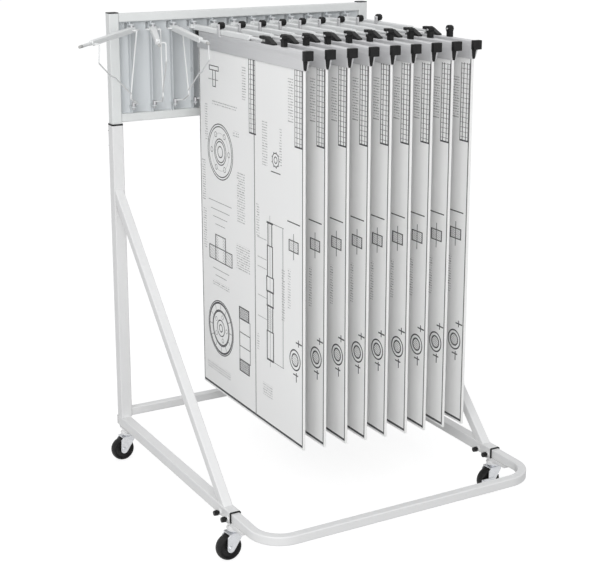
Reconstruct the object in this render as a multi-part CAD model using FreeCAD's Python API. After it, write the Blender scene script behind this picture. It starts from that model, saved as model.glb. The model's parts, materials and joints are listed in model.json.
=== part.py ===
import FreeCAD, Part
import math
import os

# Mobile plan hanging rack, in millimetres, +X right, -Y front, +Z up.
# Two square uprights stand on side rails that run forward to a telescoping U
# base on four casters.  A rack slides up out of the uprights and carries twelve
# pivoting hangers.  Nine of them hold a two-jaw clamp with a bundle of plans.

V = FreeCAD.Vector

# ---------------------------------------------------------------- driving sizes

# Frame
FRAME_WIDTH = 709.0           # across the outer faces of the uprights
UPRIGHT = 28.0                # square tube of the uprights
UPRIGHT_WALL = 1.5
UPRIGHT_HEIGHT = 735.0        # from the top of the side rail
RAIL = 25.0                   # square tube of the side rails
RAIL_WALL = 2.0
RAIL_LENGTH = 627.0           # from the rear face of the upright forward
TUBE_CORNER = 2.5             # outer corner radius of every square tube
COLLAR = 4.0                  # plastic collar at each sliding joint
CROSS_TUBE = 20.0
CROSS_TUBE_RISE = 2.0         # above the side rail
THIN_WALL = 1.5               # wall of the cross tube, brace and rack rails
BRACE = 22.0
BRACE_UP = 566.0              # height of the brace on the upright, at its centre line
BRACE_OUT = 554.0             # reach of the brace along the rail, at its centre line

# Telescoping U base
U_GAP = 0.4                   # running gap between the U tube and the rail, each side
U_WALL = 1.5
U_REACH = 155.0               # from the front of the rail tube to the front face of the U
U_INSIDE = 460.0              # length of each leg inside its rail
U_BEND = 65.0                 # bend radius at the tube's centre line
U_SHANK = 8.0                 # straight end behind each bend, butted to the leg
STOP_GAP = 0.5                # between the spacer under the U and the collar when pushed home

# Rack that slides in the uprights
RACK_GAP = 0.3                # running gap between rack tube and upright, each side
RACK_WALL = 1.5
RACK_INSIDE = 551.0           # length of rack tube inside the upright when lowered
RACK_CLEAR = 3.0              # between the collar and the rack's bottom rail
RACK_HEIGHT = 256.0           # from the bottom rail's underside to the tube tops
RACK_RAIL = 20.0
RACK_RAIL_DROP = 0.5          # top rail below the tube tops
CAP_THICKNESS = 2.2
CAP_PLUG = 12.0

# Corrugated back panel with its ribs, slots and pivot lugs
PANEL_SHEET = 1.2
PANEL_FRONT = 9.2             # ribs' sheet line behind the front face of the rack
PANEL_TROUGH = 8.0            # depth of the curved troughs between ribs
RIB_THICKNESS = 3.0
RIB_SETBACK = 0.8             # rib edge from the front face of the rack, forward
SLOT_WIDTH = 5.0
SLOT_HEIGHT = 17.0
SLOT_OFFSET = 5.5             # slot centre to the left of its rib
LUG_THICKNESS = 3.0
LUG_HALF_WIDTH = 6.5
UPPER_LUG_DROP = 4.0          # below the top rail
LOWER_LUG_RISE = 15.0         # above the bottom rail

# Pivots
HANGERS = 12
PIVOT_FORWARD = 24.0          # pivot axis in front of the upright plane
PIVOT_MARGIN_LEFT = 26.05     # from the rack tube to the first pivot
PIVOT_MARGIN_RIGHT = 42.05    # from the last pivot to the rack tube
PIN_RADIUS = 3.0
PIN_CLEARANCE = 0.06          # radial, pin in lug and stem in mount
SEAT_GAP = 0.2                # between faces that slide on each other

# Hanger: pressed arm, round finger and bent wire brace
ARM_LENGTH = 293.0            # pivot to the end of the pressed arm
ARM_HEIGHT = 11.5
ARM_BELOW_LUG = 4.5           # arm top below the upper lug
ARM_ROOT_HALF = 8.0
ARM_END_HALF = 4.8
ARM_SHEET = 1.5
ARM_CORNER = 2.5
FLANGE_HALF = 17.0
FLANGE_THICKNESS = 3.0
FLANGE_FRONT = 19.0           # in front of the pivot
FLANGE_REAR = 3.0             # behind the pivot
FLANGE_CUT = 4.0              # corner cut at the left front
HUB_RADIUS = 9.5
BUSH_RADIUS = 5.0             # collars on the pivot pins
BUSH_LENGTH = 10.0            # of the lower one
PIN_ABOVE_LUG = 1.0
PIN_BELOW_LUG = 4.0
FINGER_REACH = 367.0
FINGER_RADIUS = 3.5
FINGER_NECK = 0.5             # necked stretch in front of the arm's end
FINGER_RELIEF = 0.5           # depth of the neck
FINGER_ROOT = 10.0            # squared root of the finger, welded into the arm's end
ROOT_BITE = 0.5               # of the root into the arm's sheet
TIP_LENGTH = 14.0             # rubber tip on the end of the finger
TIP_RADIUS = 3.3
TIP_CHAMFER = 1.2
WIRE_RADIUS = 1.8
DIAGONAL_RADIUS = 1.6         # thinner wire, welded into the post wire
WIRE_OFFSET = 17.0            # brace wires stand to the right of the arm
WIRE_BEND = 4.0
POST_OUT = 16.0               # upper end of the post wire, from the pivot
BRACE_VERTEX_OUT = 78.0       # lowest corner of the wire brace, from the pivot
BRACE_VERTEX_DROP = 156.0     # and below the arm's top
TAIL_OUT = 22.0               # where the tail wire turns in to the lower pin
TAIL_RISE = 4.0               # this turn above the tail's end on the pin
DIAGONAL_WELD = 0.93          # place of the weld along the post wire
DIAGONAL_TURNS = ((190.0, 92.0), (216.0, 86.0), (298.0, 47.0)) # out, below the arm's top
DIAGONAL_END = 5.0            # back from the end of the arm

# Hanging clamp
CLAMPS = 9
CLAMP_START = 26.0            # rear end of the jaws, from the pivot
CLAMP_LENGTH = 509.0
CLAMP_HEIGHT = 40.0
CLAMP_HALF = 11.0             # widest half-width of the closed jaws
CLAMP_GAP = 0.5               # between the arm and the top of the jaws
JAW_TIP = 2.5                 # wall of the jaw at the gripping edge
JAW_ROOF = 7.0                # solid metal above the sheet cavity
JAW_WALL = 1.6
LUMEN_RISE = 14.0             # hollow of the jaw starts this far above its edge
LUMEN_CHAMFER = 4.0
JAW_SHOULDER = 10.0           # the round shoulder starts this far below the top
JAW_ROUND = 5.5               # and ends this far in from the side
GRIP_CLEARANCE = 0.3          # jaw to sheet bundle
JAW_SPLIT = 0.15              # half the gap between the jaws at the roof
CAP_COVER = 4.0               # end cap over the jaws
CAP_FIT = 0.15
CAP_HALF = 13.5
CAP_RISE = 2.0                # above the jaws
CAP_TALL = 23.0
CAP_BEVEL = 1.5
REAR_CAP = 8.0                # beyond the end of the jaws
FRONT_CAP = 12.0
WEDGE_TOP_HALF = 7.5
WEDGE_TIP_HALF = 1.5
REAR_KNOB = 132.0             # from the pivot
FRONT_KNOB = 461.0
KNOB_RADIUS = 7.5
KNOB_FLUTE = 0.9
KNOB_LENGTH = 14.0
KNOB_RIBS = 8
KNOB_TAPER = 0.88             # outer end of a knob against its inner end
STUD_RADIUS = 2.5
NUT_WIDTH = 3.0
NUT_ACROSS = 8.4
EAR_THICKNESS = 2.0
EAR_CLEARANCE = 0.8           # ear to the arm at the rear knob
EAR_LENGTH = 14.0
EAR_RIM = 3.0                 # above the stud
LATCH_START = 345.0
LATCH_LENGTH = 85.0
LATCH_HALF = 7.0
LATCH_TOP = 16.0              # above the jaws
LATCH_TOE = 3.0               # height of its front end
LATCH_SLOPE = 32.0            # length of its sloped front
LATCH_HEEL = 8.0              # foot set back from the lip's rear end
LATCH_GAP = 0.3               # latch slot round the finger
LATCH_FREE = 2.0              # slot beyond the finger's tip

# Sheet bundles
SHEET_THICKNESS = 5.0
SHEET_WIDTH = 508.0
SHEET_HEIGHT = 872.0
SHEET_TOP_GAP = 1.0           # first bundle below the roof of the jaws
SHEET_STEP = 2.9              # each next bundle hangs this much lower

# Casters
CASTER_HEIGHT = 80.0          # floor to the side rail
WHEEL_RADIUS = 28.5
TREAD_HALF = 10.0
TREAD_CROWN = 2.5
HUB_HALF = 11.0
WHEEL_HUB = 9.0
WHEEL_WEB = 6.0               # half thickness of the web
WHEEL_RIM = 20.5              # inner radius of the rim
TRAIL = 16.0
FORK_SHEET = 2.2
FORK_GAP = 0.4                # hub to fork leg
FORK_TOP = 61.5
FORK_FRONT = 12.0             # crown in front of the stem
FORK_TIP = 9.0                # radius of the leg round the axle
FORK_SHOULDER = 8.0           # straight front edge of the leg
FORK_FLARE = 8.0              # leg's rear edge beyond the axle, at the crown
AXLE_HEAD = 2.5
AXLE_HEAD_RADIUS = 5.5
AXLE_RADIUS = 4.0
STEM_RADIUS = 5.0
STEM_SHORT = 0.3              # stem ends below the top of its plate
RACE_RADIUS = 17.0
RACE_CONE = 4.0               # height of the lower race's cone
RACE_LIP = 1.0                # cup's rim, out and up
RACE_WAIST = 4.0              # cup narrows by this
RACE_CUP = 6.5
LEVER_SHEET = 1.8             # brake lever on the outside of the leg
LEVER_REACH = 30.0            # its foot behind the axle
LEVER_RISE = 10.0             # and above it
LEVER_DROP = 12.0             # its lower corner below the axle
LEVER_ROOT = 8.0              # half-width round the axle
LEVER_LIP = 9.0               # foot plate bent out
LEVER_LIP_SHEET = 2.5
LEVER_LIP_HEIGHT = 8.0
PLATE_THICKNESS = 4.0         # plate above each caster
PLATE_GAP = 0.3               # front plate below the rail that it slides under
PLATE_HALF = 22.0             # half the length of a rear plate
PLATE_TAIL = 28.0             # front plate behind its spacer
SPACER_LENGTH = 50.0          # spacer between the front plate and the U tube
FRONT_STEM = 5.5              # front stem behind the spacer
REAR_STEM = 33.0              # rear stem from the rear end of the rail

# Thumbscrews
SCREW_RADIUS = 3.0
SCREW_HEAD = 9.0
SCREW_HEAD_RADIUS = 6.5
SCREW_NECK = 3.0
SCREW_TIP_GAP = 0.3           # to the sliding tube
NUT_RADIUS = 6.0
NUT_HEIGHT = 3.0
RAIL_SCREW_OUT = 6.0          # head beside the rail
RAIL_SCREW_RISE = 8.0         # above the rail's underside
UPRIGHT_SCREW_OUT = 13.0      # head behind the upright
RAIL_SCREWS = (9.0, 45.0)     # behind the front of the rail
UPRIGHT_SCREWS = (18.0, 54.0) # below the top of the upright

# Rest positions
HANGER_YAW = (-39.4, -21.2, -12.6) # empty hangers swung to the left, degrees
CASTER_YAW = 3.0              # rolling direction from +X, degrees

# ---------------------------------------------------------------- derived places

RAIL_TOP = CASTER_HEIGHT + RAIL
UPRIGHT_TOP = RAIL_TOP + UPRIGHT_HEIGHT
UPRIGHT_X = (FRAME_WIDTH - UPRIGHT) / 2
UPRIGHT_INSIDE = UPRIGHT - 2 * UPRIGHT_WALL
RAIL_X = (FRAME_WIDTH - RAIL) / 2
RAIL_REAR = UPRIGHT / 2
RAIL_FRONT = RAIL_REAR - RAIL_LENGTH
RAIL_MIDDLE = CASTER_HEIGHT + RAIL / 2
COLLAR_FRONT = RAIL_FRONT - COLLAR

U_TUBE = RAIL - 2 * RAIL_WALL - 2 * U_GAP
U_UNDER = RAIL_MIDDLE - U_TUBE / 2
U_FRONT = RAIL_FRONT - U_REACH
SPACER_REAR = COLLAR_FRONT - STOP_GAP
SPACER_FRONT = SPACER_REAR - SPACER_LENGTH
PLATE_TOP = CASTER_HEIGHT - PLATE_GAP
PLATE_UNDER = PLATE_TOP - PLATE_THICKNESS
RAIL_SCREW_Z = CASTER_HEIGHT + RAIL_SCREW_RISE

RACK_TUBE = UPRIGHT_INSIDE - 2 * RACK_GAP
RACK_BOTTOM = UPRIGHT_TOP + COLLAR + RACK_CLEAR
RACK_TOP = RACK_BOTTOM + RACK_HEIGHT
RACK_FACE = -RACK_TUBE / 2
RACK_RAIL_HALF = UPRIGHT_X - RACK_TUBE / 2
TOP_RAIL_TOP = RACK_TOP - RACK_RAIL_DROP
TOP_RAIL_UNDER = TOP_RAIL_TOP - RACK_RAIL
BOTTOM_RAIL_TOP = RACK_BOTTOM + RACK_RAIL

UPPER_LUG = TOP_RAIL_UNDER - UPPER_LUG_DROP - LUG_THICKNESS
LOWER_LUG = BOTTOM_RAIL_TOP + LOWER_LUG_RISE
PIVOT_SPAN = 2 * RACK_RAIL_HALF - PIVOT_MARGIN_LEFT - PIVOT_MARGIN_RIGHT
PIVOT_PITCH = PIVOT_SPAN / (HANGERS - 1)
PIVOTS = [PIVOT_MARGIN_LEFT - RACK_RAIL_HALF + PIVOT_PITCH * i for i in range(HANGERS)]

ARM_TOP = UPPER_LUG - ARM_BELOW_LUG
ARM_UNDER = ARM_TOP - ARM_HEIGHT
FINGER_Z = ARM_TOP - ARM_HEIGHT / 2
CLAMP_TOP = ARM_UNDER - CLAMP_GAP
CLAMP_BOTTOM = CLAMP_TOP - CLAMP_HEIGHT
CLAMP_END = CLAMP_START + CLAMP_LENGTH
JAW_CAVITY = SHEET_THICKNESS / 2 + GRIP_CLEARANCE
STUD_Z = ARM_TOP + SEAT_GAP + STUD_RADIUS
PIN_SHELF = LOWER_LUG + LUG_THICKNESS + SEAT_GAP
ARM_TAPER = (ARM_ROOT_HALF - ARM_END_HALF) / ARM_LENGTH
EAR_INNER = ARM_ROOT_HALF - ARM_TAPER * (REAR_KNOB - EAR_LENGTH / 2) + EAR_CLEARANCE
EAR_OUTER = EAR_INNER + EAR_THICKNESS
KNOB_START = EAR_OUTER + SEAT_GAP

FORK_INNER = HUB_HALF + FORK_GAP
FORK_OUTER = FORK_INNER + FORK_SHEET
CASTERS = {
    "front_left": (-RAIL_X, SPACER_REAR + FRONT_STEM, False),
    "front_right": (RAIL_X, SPACER_REAR + FRONT_STEM, True),
    "rear_left": (-RAIL_X, RAIL_REAR - REAR_STEM, False),
    "rear_right": (RAIL_X, RAIL_REAR - REAR_STEM, True),
}
SIDES = {"left": -1, "right": 1}

# ---------------------------------------------------------------- shape helpers


def block(x, y, z):
    """Box from three (low, high) pairs."""
    return Part.makeBox(x[1] - x[0], y[1] - y[0], z[1] - z[0], V(x[0], y[0], z[0]))


def cylinder(radius, start, direction, length):
    """Round bar from a start point along a direction."""
    return Part.makeCylinder(radius, length, V(*start), V(*direction))


def face_of(points):
    """Flat face inside a closed polygon."""
    return Part.Face(Part.makePolygon([V(*p) for p in points] + [V(*points[0])]))


def rounded_rectangle(width, depth, radius):
    """Closed wire in XY, centred on the origin, with round corners."""
    hx = width / 2
    hy = depth / 2
    cut = radius * (1 - math.sqrt(0.5))
    arcs = []
    for sx, sy in ((1, 1), (-1, 1), (-1, -1), (1, -1)):
        side = V(sx * hx, sy * (hy - radius), 0)
        flat = V(sx * (hx - radius), sy * hy, 0)
        middle = V(sx * (hx - cut), sy * (hy - cut), 0)
        arcs.append((side, middle, flat) if sx * sy > 0 else (flat, middle, side))
    edges = []
    for arc, following in zip(arcs, arcs[1:] + arcs[:1]):
        edges.append(Part.Arc(*arc).toShape())
        edges.append(Part.LineSegment(arc[2], following[0]).toShape())
    return Part.Wire(edges)


def placed(shape, origin, along, across):
    """Copy of a shape with its Z axis turned along one direction and X across it."""
    z = V(*along)
    x = V(*across)
    turn = FreeCAD.Rotation(x, z.cross(x), z, "ZXY")
    copy = shape.copy()
    copy.Placement = FreeCAD.Placement(V(*origin), turn)
    return copy


def square(side):
    """Flat square in XY, centred on the origin."""
    half = side / 2
    return face_of([(-half, -half, 0), (half, -half, 0), (half, half, 0), (-half, half, 0)])


def tube_section(side, wall):
    """Section of a square tube, round outside."""
    outer = Part.Face(rounded_rectangle(side, side, TUBE_CORNER))
    return outer.cut(square(side - 2 * wall)).Faces[0]


def square_tube(side, wall, origin, along, across, length):
    """Straight square tube, open at both ends."""
    section = placed(tube_section(side, wall), origin, along, across)
    return section.extrude(V(*along).normalize() * length)


def bends(points, radius):
    """Straight runs and tangent bends along a path: (start, end) pairs and bend tuples."""
    nodes = [V(*p) for p in points]
    runs = []
    turns = []
    start = nodes[0]
    for before, corner, after in zip(nodes, nodes[1:], nodes[2:]):
        back = (before - corner).normalize()
        ahead = (after - corner).normalize()
        half = back.getAngle(ahead) / 2
        enter = corner + back * (radius / math.tan(half))
        centre = corner + (back + ahead).normalize() * (radius / math.sin(half))
        runs.append((start, enter))
        turns.append((enter, centre, ahead.cross(back), 180 - math.degrees(2 * half)))
        start = corner + ahead * (radius / math.tan(half))
    runs.append((start, nodes[-1]))
    return runs, turns


def bent_bar(section_at, points, radius):
    """Bar of any section bent along a path, from a function that places its section."""
    runs, turns = bends(points, radius)
    pieces = [section_at(a, b - a).extrude(b - a) for a, b in runs]
    for (a, b), (enter, centre, axis, angle) in zip(runs, turns):
        pieces.append(section_at(enter, b - a).revolve(centre, axis, angle))
    return fused(pieces)


def bent_rod(points, radius, bend):
    """Round wire bent along a path."""
    def disc(place, direction):
        return Part.Face(Part.Wire(Part.makeCircle(radius, place, direction)))
    return bent_bar(disc, points, bend)


def turned(shape, x, y, yaw):
    """Move a shape built round the Z axis to its place and turn it about its own axis."""
    copy = shape.copy()
    copy.rotate(V(0, 0, 0), V(0, 0, 1), yaw)
    copy.translate(V(x, y, 0))
    return copy


def fused(shapes):
    """One solid from overlapping pieces, with seams between flat faces removed."""
    return shapes[0].multiFuse(shapes[1:]).removeSplitter()


def fluted_knob(radius, flute, ribs, length, taper):
    """Ribbed grip on the Z axis that narrows away from z = 0."""
    rings = []
    for z, scale in ((0, 1.0), (length, taper)):
        ring = []
        for i in range(2 * ribs):
            reach = (radius - flute * (i % 2)) * scale
            angle = math.pi * i / ribs
            ring.append(V(reach * math.cos(angle), reach * math.sin(angle), z))
        rings.append(Part.makePolygon(ring + ring[:1]))
    return Part.makeLoft(rings, True, True)


# ---------------------------------------------------------------- fixed frame


def weld_nut(origin, along):
    """Round nut boss on a tube's face."""
    return cylinder(NUT_RADIUS, origin, along, NUT_HEIGHT)


def upright(sign):
    """Fixed lower tube with two nut bosses for the height screws on its rear face."""
    x = sign * UPRIGHT_X
    tube = square_tube(UPRIGHT, UPRIGHT_WALL, (x, 0, RAIL_TOP), (0, 0, 1), (1, 0, 0), UPRIGHT_HEIGHT)
    levels = [UPRIGHT_TOP - drop for drop in UPRIGHT_SCREWS]
    bosses = [weld_nut((x, UPRIGHT / 2, z), (0, 1, 0)) for z in levels]
    tube = fused([tube] + bosses)
    for z in levels:
        tube = tube.cut(cylinder(SCREW_RADIUS + PIN_CLEARANCE, (x, 0, z), (0, 1, 0), UPRIGHT))
    return tube


def race_cup(x, y):
    """Fixed upper ball cup of a caster, under its plate: rim, dish and waist."""
    low = PLATE_UNDER - RACE_CUP
    rim = cylinder(RACE_RADIUS + RACE_LIP, (x, y, low), (0, 0, 1), RACE_LIP)
    half = RACE_CUP / 2
    neck = RACE_RADIUS - RACE_WAIST
    dish = Part.makeCone(RACE_RADIUS + RACE_LIP, neck, half, V(x, y, low + RACE_LIP))
    waist = cylinder(neck, (x, y, low + half), (0, 0, 1), half)
    return [rim, dish, waist]


def stem_hole(x, y):
    """Hole up through a caster's cup and plate."""
    return cylinder(STEM_RADIUS + PIN_CLEARANCE, (x, y, PLATE_TOP), (0, 0, -1), CASTER_HEIGHT)


def side_rail(sign):
    """Side rail with the depth screws' nuts on its left side and the rear caster's plate."""
    x = sign * RAIL_X
    tube = square_tube(RAIL, RAIL_WALL, (x, RAIL_REAR, RAIL_MIDDLE), (0, -1, 0), (1, 0, 0), RAIL_LENGTH)
    places = [RAIL_FRONT + back for back in RAIL_SCREWS]
    bosses = [weld_nut((x - RAIL / 2, y, RAIL_SCREW_Z), (-1, 0, 0)) for y in places]
    stem_y = RAIL_REAR - REAR_STEM
    plate = block((x - RAIL / 2, x + RAIL / 2), (stem_y - PLATE_HALF, stem_y + PLATE_HALF),
                  (PLATE_UNDER, CASTER_HEIGHT))
    tube = fused([tube, plate] + bosses + race_cup(x, stem_y))
    for y in places:
        tube = tube.cut(cylinder(SCREW_RADIUS + PIN_CLEARANCE, (x, y, RAIL_SCREW_Z), (-1, 0, 0), RAIL))
    return tube.cut(stem_hole(x, stem_y))


def brace(sign):
    """Diagonal tube cut flush to the upright's front face and the rail's top face."""
    x = sign * RAIL_X
    front = -UPRIGHT / 2
    top = V(x, front, RAIL_TOP + BRACE_UP)
    foot = V(x, front - BRACE_OUT, RAIL_TOP)
    along = (foot - top).normalize()
    start = top - along * BRACE * 2
    length = BRACE_UP + BRACE_OUT
    tube = square_tube(BRACE, THIN_WALL, start, along, (1, 0, 0), length)
    region = block((x - BRACE, x + BRACE), (RAIL_FRONT, front), (RAIL_TOP, UPRIGHT_TOP))
    return tube.common(region)


def rear_cross_tube():
    """Low tube between the uprights, flush with their front faces."""
    half = UPRIGHT_X - UPRIGHT / 2
    y = (CROSS_TUBE - UPRIGHT) / 2
    z = RAIL_TOP + CROSS_TUBE_RISE + CROSS_TUBE / 2
    return square_tube(CROSS_TUBE, THIN_WALL, (-half, y, z), (1, 0, 0), (0, 1, 0), 2 * half)


def collar(outer, opening, origin, along):
    """Plastic ring that closes the end of an outer tube round the tube that slides in it."""
    section = placed(tube_section(outer, (outer - opening) / 2), origin, along, (1, 0, 0))
    return section.extrude(V(*along) * COLLAR)


def end_plug(origin, along, side, wall):
    """Plastic plug with a rounded head in the end of a tube."""
    head = Part.Face(rounded_rectangle(side, side, TUBE_CORNER))
    shank = square(side - 2 * wall - 2 * CAP_FIT)
    head = placed(head, origin, along, (1, 0, 0)).extrude(V(*along) * CAP_THICKNESS)
    shank = placed(shank, origin, along, (1, 0, 0)).extrude(V(*along) * -CAP_PLUG)
    return fused([head, shank])


def tube_collars():
    """Collars at the four sliding joints and the plugs in the rear ends of the rails."""
    pieces = []
    for sign in SIDES.values():
        top = (sign * UPRIGHT_X, 0, UPRIGHT_TOP)
        pieces.append(collar(UPRIGHT, RACK_TUBE + 2 * RACK_GAP, top, (0, 0, 1)))
        front = (sign * RAIL_X, RAIL_FRONT, RAIL_MIDDLE)
        pieces.append(collar(RAIL, U_TUBE + 2 * U_GAP, front, (0, -1, 0)))
        rear = (sign * RAIL_X, RAIL_REAR, RAIL_MIDDLE)
        pieces.append(end_plug(rear, (0, 1, 0), RAIL, RAIL_WALL))
    return Part.makeCompound(pieces)


# ---------------------------------------------------------------- U base and casters


def front_u_tube():
    """Tube bent to a U, the two legs butted to it, and a spacer and caster plate under each leg."""
    front = U_FRONT + U_TUBE / 2
    butt = front + U_BEND + U_SHANK
    rear = RAIL_FRONT + U_INSIDE
    corners = [(-RAIL_X, butt), (-RAIL_X, front), (RAIL_X, front), (RAIL_X, butt)]

    def section_at(place, direction):
        return placed(tube_section(U_TUBE, U_WALL), place, direction, (0, 0, 1))

    pieces = [bent_bar(section_at, [(x, y, RAIL_MIDDLE) for x, y in corners], U_BEND)]
    for sign in SIDES.values():
        x = sign * RAIL_X
        leg = placed(tube_section(U_TUBE, U_WALL), (x, butt, RAIL_MIDDLE), (0, 1, 0), (1, 0, 0))
        pieces.append(leg.extrude(V(0, rear - butt, 0)))
        stem_y = SPACER_REAR + FRONT_STEM
        across = (x - RAIL / 2, x + RAIL / 2)
        spacer = block(across, (SPACER_FRONT, SPACER_REAR), (PLATE_TOP, U_UNDER))
        plate = block(across, (SPACER_FRONT, SPACER_REAR + PLATE_TAIL), (PLATE_UNDER, PLATE_TOP))
        carrier = fused([plate] + race_cup(x, stem_y)).cut(stem_hole(x, stem_y))
        pieces += [spacer, carrier]
    return Part.makeCompound(pieces)


def fork_leg():
    """Outline of one fork leg in XZ: wide at the crown, tapering to the round axle end."""
    centre = V(-TRAIL, 0, WHEEL_RADIUS)
    rear = centre + V(-FORK_TIP, 0, 0)
    low_front = V(FORK_FRONT, 0, FORK_TOP - FORK_SHOULDER)
    reach = low_front - centre
    tangent = math.atan2(reach.z, reach.x) - math.acos(FORK_TIP / reach.Length)
    front = centre + V(FORK_TIP * math.cos(tangent), 0, FORK_TIP * math.sin(tangent))
    top_front = V(FORK_FRONT, 0, FORK_TOP)
    top_rear = V(-TRAIL, 0, FORK_TOP)
    low_rear = V(-TRAIL - FORK_FLARE, 0, FORK_TOP - FORK_SHOULDER)
    corners = [front, low_front, top_front, top_rear, low_rear, rear]
    edges = [Part.LineSegment(a, b).toShape() for a, b in zip(corners, corners[1:])]
    edges.append(Part.Arc(rear, centre + V(0, 0, -FORK_TIP), front).toShape())
    return Part.Face(Part.Wire(edges))


def brake_lever():
    """Foot lever on the outside of one leg: a three-cornered plate with its end bent out."""
    axle = V(-TRAIL, -FORK_OUTER, WHEEL_RADIUS)
    foot_low = LEVER_RISE - LEVER_LIP_HEIGHT
    corners = [(LEVER_ROOT, LEVER_ROOT), (-LEVER_REACH, LEVER_RISE), (-LEVER_REACH, foot_low),
               (-LEVER_ROOT, -LEVER_DROP), (LEVER_ROOT, -LEVER_ROOT)]
    plate = face_of([axle + V(x, 0, z) for x, z in corners]).extrude(V(0, -LEVER_SHEET, 0))
    foot = axle + V(-LEVER_REACH, 0, foot_low)
    lip = block((foot.x, foot.x + LEVER_LIP_SHEET), (foot.y - LEVER_LIP, foot.y),
                (foot.z, foot.z + LEVER_LIP_HEIGHT))
    return [plate, lip]


def caster_fork(x, y, brake):
    """Swivel fork: stem, lower ball race, crown, two tapered legs and the axle."""
    race_top = PLATE_UNDER - RACE_CUP - SEAT_GAP
    race_foot = FORK_TOP + RACE_CONE
    crown_rear = -TRAIL - FORK_FLARE / 2
    pieces = [
        block((crown_rear, FORK_FRONT), (-FORK_OUTER, FORK_OUTER), (FORK_TOP - FORK_SHEET, FORK_TOP)),
        Part.makeCone(RACE_RADIUS - RACE_WAIST, RACE_RADIUS, RACE_CONE, V(0, 0, FORK_TOP)),
        cylinder(RACE_RADIUS, (0, 0, race_foot), (0, 0, 1), race_top - race_foot),
        cylinder(STEM_RADIUS, (0, 0, FORK_TOP), (0, 0, 1), PLATE_TOP - STEM_SHORT - FORK_TOP),
        cylinder(AXLE_RADIUS, (-TRAIL, -FORK_OUTER, WHEEL_RADIUS), (0, 1, 0), 2 * FORK_OUTER),
    ]
    for side in (-1, 1):
        leg = fork_leg().extrude(V(0, side * FORK_SHEET, 0))
        leg.translate(V(0, side * FORK_INNER, 0))
        pieces.append(leg)
        start = (-TRAIL, side * FORK_OUTER, WHEEL_RADIUS)
        pieces.append(cylinder(AXLE_HEAD_RADIUS, start, (0, side, 0), AXLE_HEAD))
    if brake:
        pieces += brake_lever()
    return turned(fused(pieces), x, y, CASTER_YAW)


def caster_wheel(x, y):
    """Wheel with a crowned tread, recessed web and raised hub, bored for its axle."""
    bore = AXLE_RADIUS + PIN_CLEARANCE
    shoulder = WHEEL_RADIUS - TREAD_CROWN
    half = [(bore, HUB_HALF), (WHEEL_HUB, HUB_HALF), (WHEEL_HUB, WHEEL_WEB), (WHEEL_RIM, WHEEL_WEB),
            (WHEEL_RIM + TREAD_CROWN, TREAD_HALF), (shoulder, TREAD_HALF)]
    right = [V(t, 0, r) for r, t in half]
    left = [V(-t, 0, r) for r, t in reversed(half)]
    edges = [Part.LineSegment(a, b).toShape() for a, b in zip(right, right[1:])]
    edges.append(Part.Arc(right[-1], V(0, 0, WHEEL_RADIUS), left[0]).toShape())
    edges += [Part.LineSegment(a, b).toShape() for a, b in zip(left, left[1:])]
    edges.append(Part.LineSegment(left[-1], right[0]).toShape())
    wheel = Part.Face(Part.Wire(edges)).revolve(V(0, 0, 0), V(1, 0, 0), 360)
    wheel.rotate(V(0, 0, 0), V(0, 0, 1), 90)
    wheel.translate(V(-TRAIL, 0, WHEEL_RADIUS))
    return turned(wheel, x, y, CASTER_YAW)


def thumbscrew(tip, along, length):
    """Level screw with a tapered ribbed head, from its tip outward."""
    stud = cylinder(SCREW_RADIUS, (0, 0, 0), (0, 0, 1), length)
    shoulder = SCREW_HEAD_RADIUS - 2 * KNOB_FLUTE
    neck = Part.makeCone(SCREW_RADIUS, shoulder, SCREW_NECK, V(0, 0, length - SCREW_NECK))
    head = fluted_knob(SCREW_HEAD_RADIUS, KNOB_FLUTE, KNOB_RIBS, SCREW_HEAD, KNOB_TAPER)
    head.translate(V(0, 0, length))
    return placed(fused([stud, neck, head]), tip, along, (0, 0, 1))


def rail_screw(sign, back):
    """Depth screw on the left side of a side rail, just clear of the U tube."""
    tip = U_TUBE / 2 + SCREW_TIP_GAP
    length = RAIL / 2 - tip + RAIL_SCREW_OUT
    return thumbscrew((sign * RAIL_X - tip, RAIL_FRONT + back, RAIL_SCREW_Z), (-1, 0, 0), length)


def upright_screw(sign, drop):
    """Height screw behind an upright, just clear of the rack tube."""
    tip = RACK_TUBE / 2 + SCREW_TIP_GAP
    length = UPRIGHT / 2 - tip + UPRIGHT_SCREW_OUT
    return thumbscrew((sign * UPRIGHT_X, tip, UPRIGHT_TOP - drop), (0, 1, 0), length)


# ---------------------------------------------------------------- sliding rack


def rack_side_tubes():
    """The two tubes that slide in the uprights."""
    bottom = UPRIGHT_TOP - RACK_INSIDE
    tubes = []
    for sign in SIDES.values():
        origin = (sign * UPRIGHT_X, 0, bottom)
        tubes.append(square_tube(RACK_TUBE, RACK_WALL, origin, (0, 0, 1), (1, 0, 0), RACK_TOP - bottom))
    return Part.makeCompound(tubes)


def rack_rail(under):
    """Square cross rail between the rack tubes, flush with their front faces."""
    origin = (-RACK_RAIL_HALF, RACK_FACE + RACK_RAIL / 2, under + RACK_RAIL / 2)
    return square_tube(RACK_RAIL, THIN_WALL, origin, (1, 0, 0), (0, 1, 0), 2 * RACK_RAIL_HALF)


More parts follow.
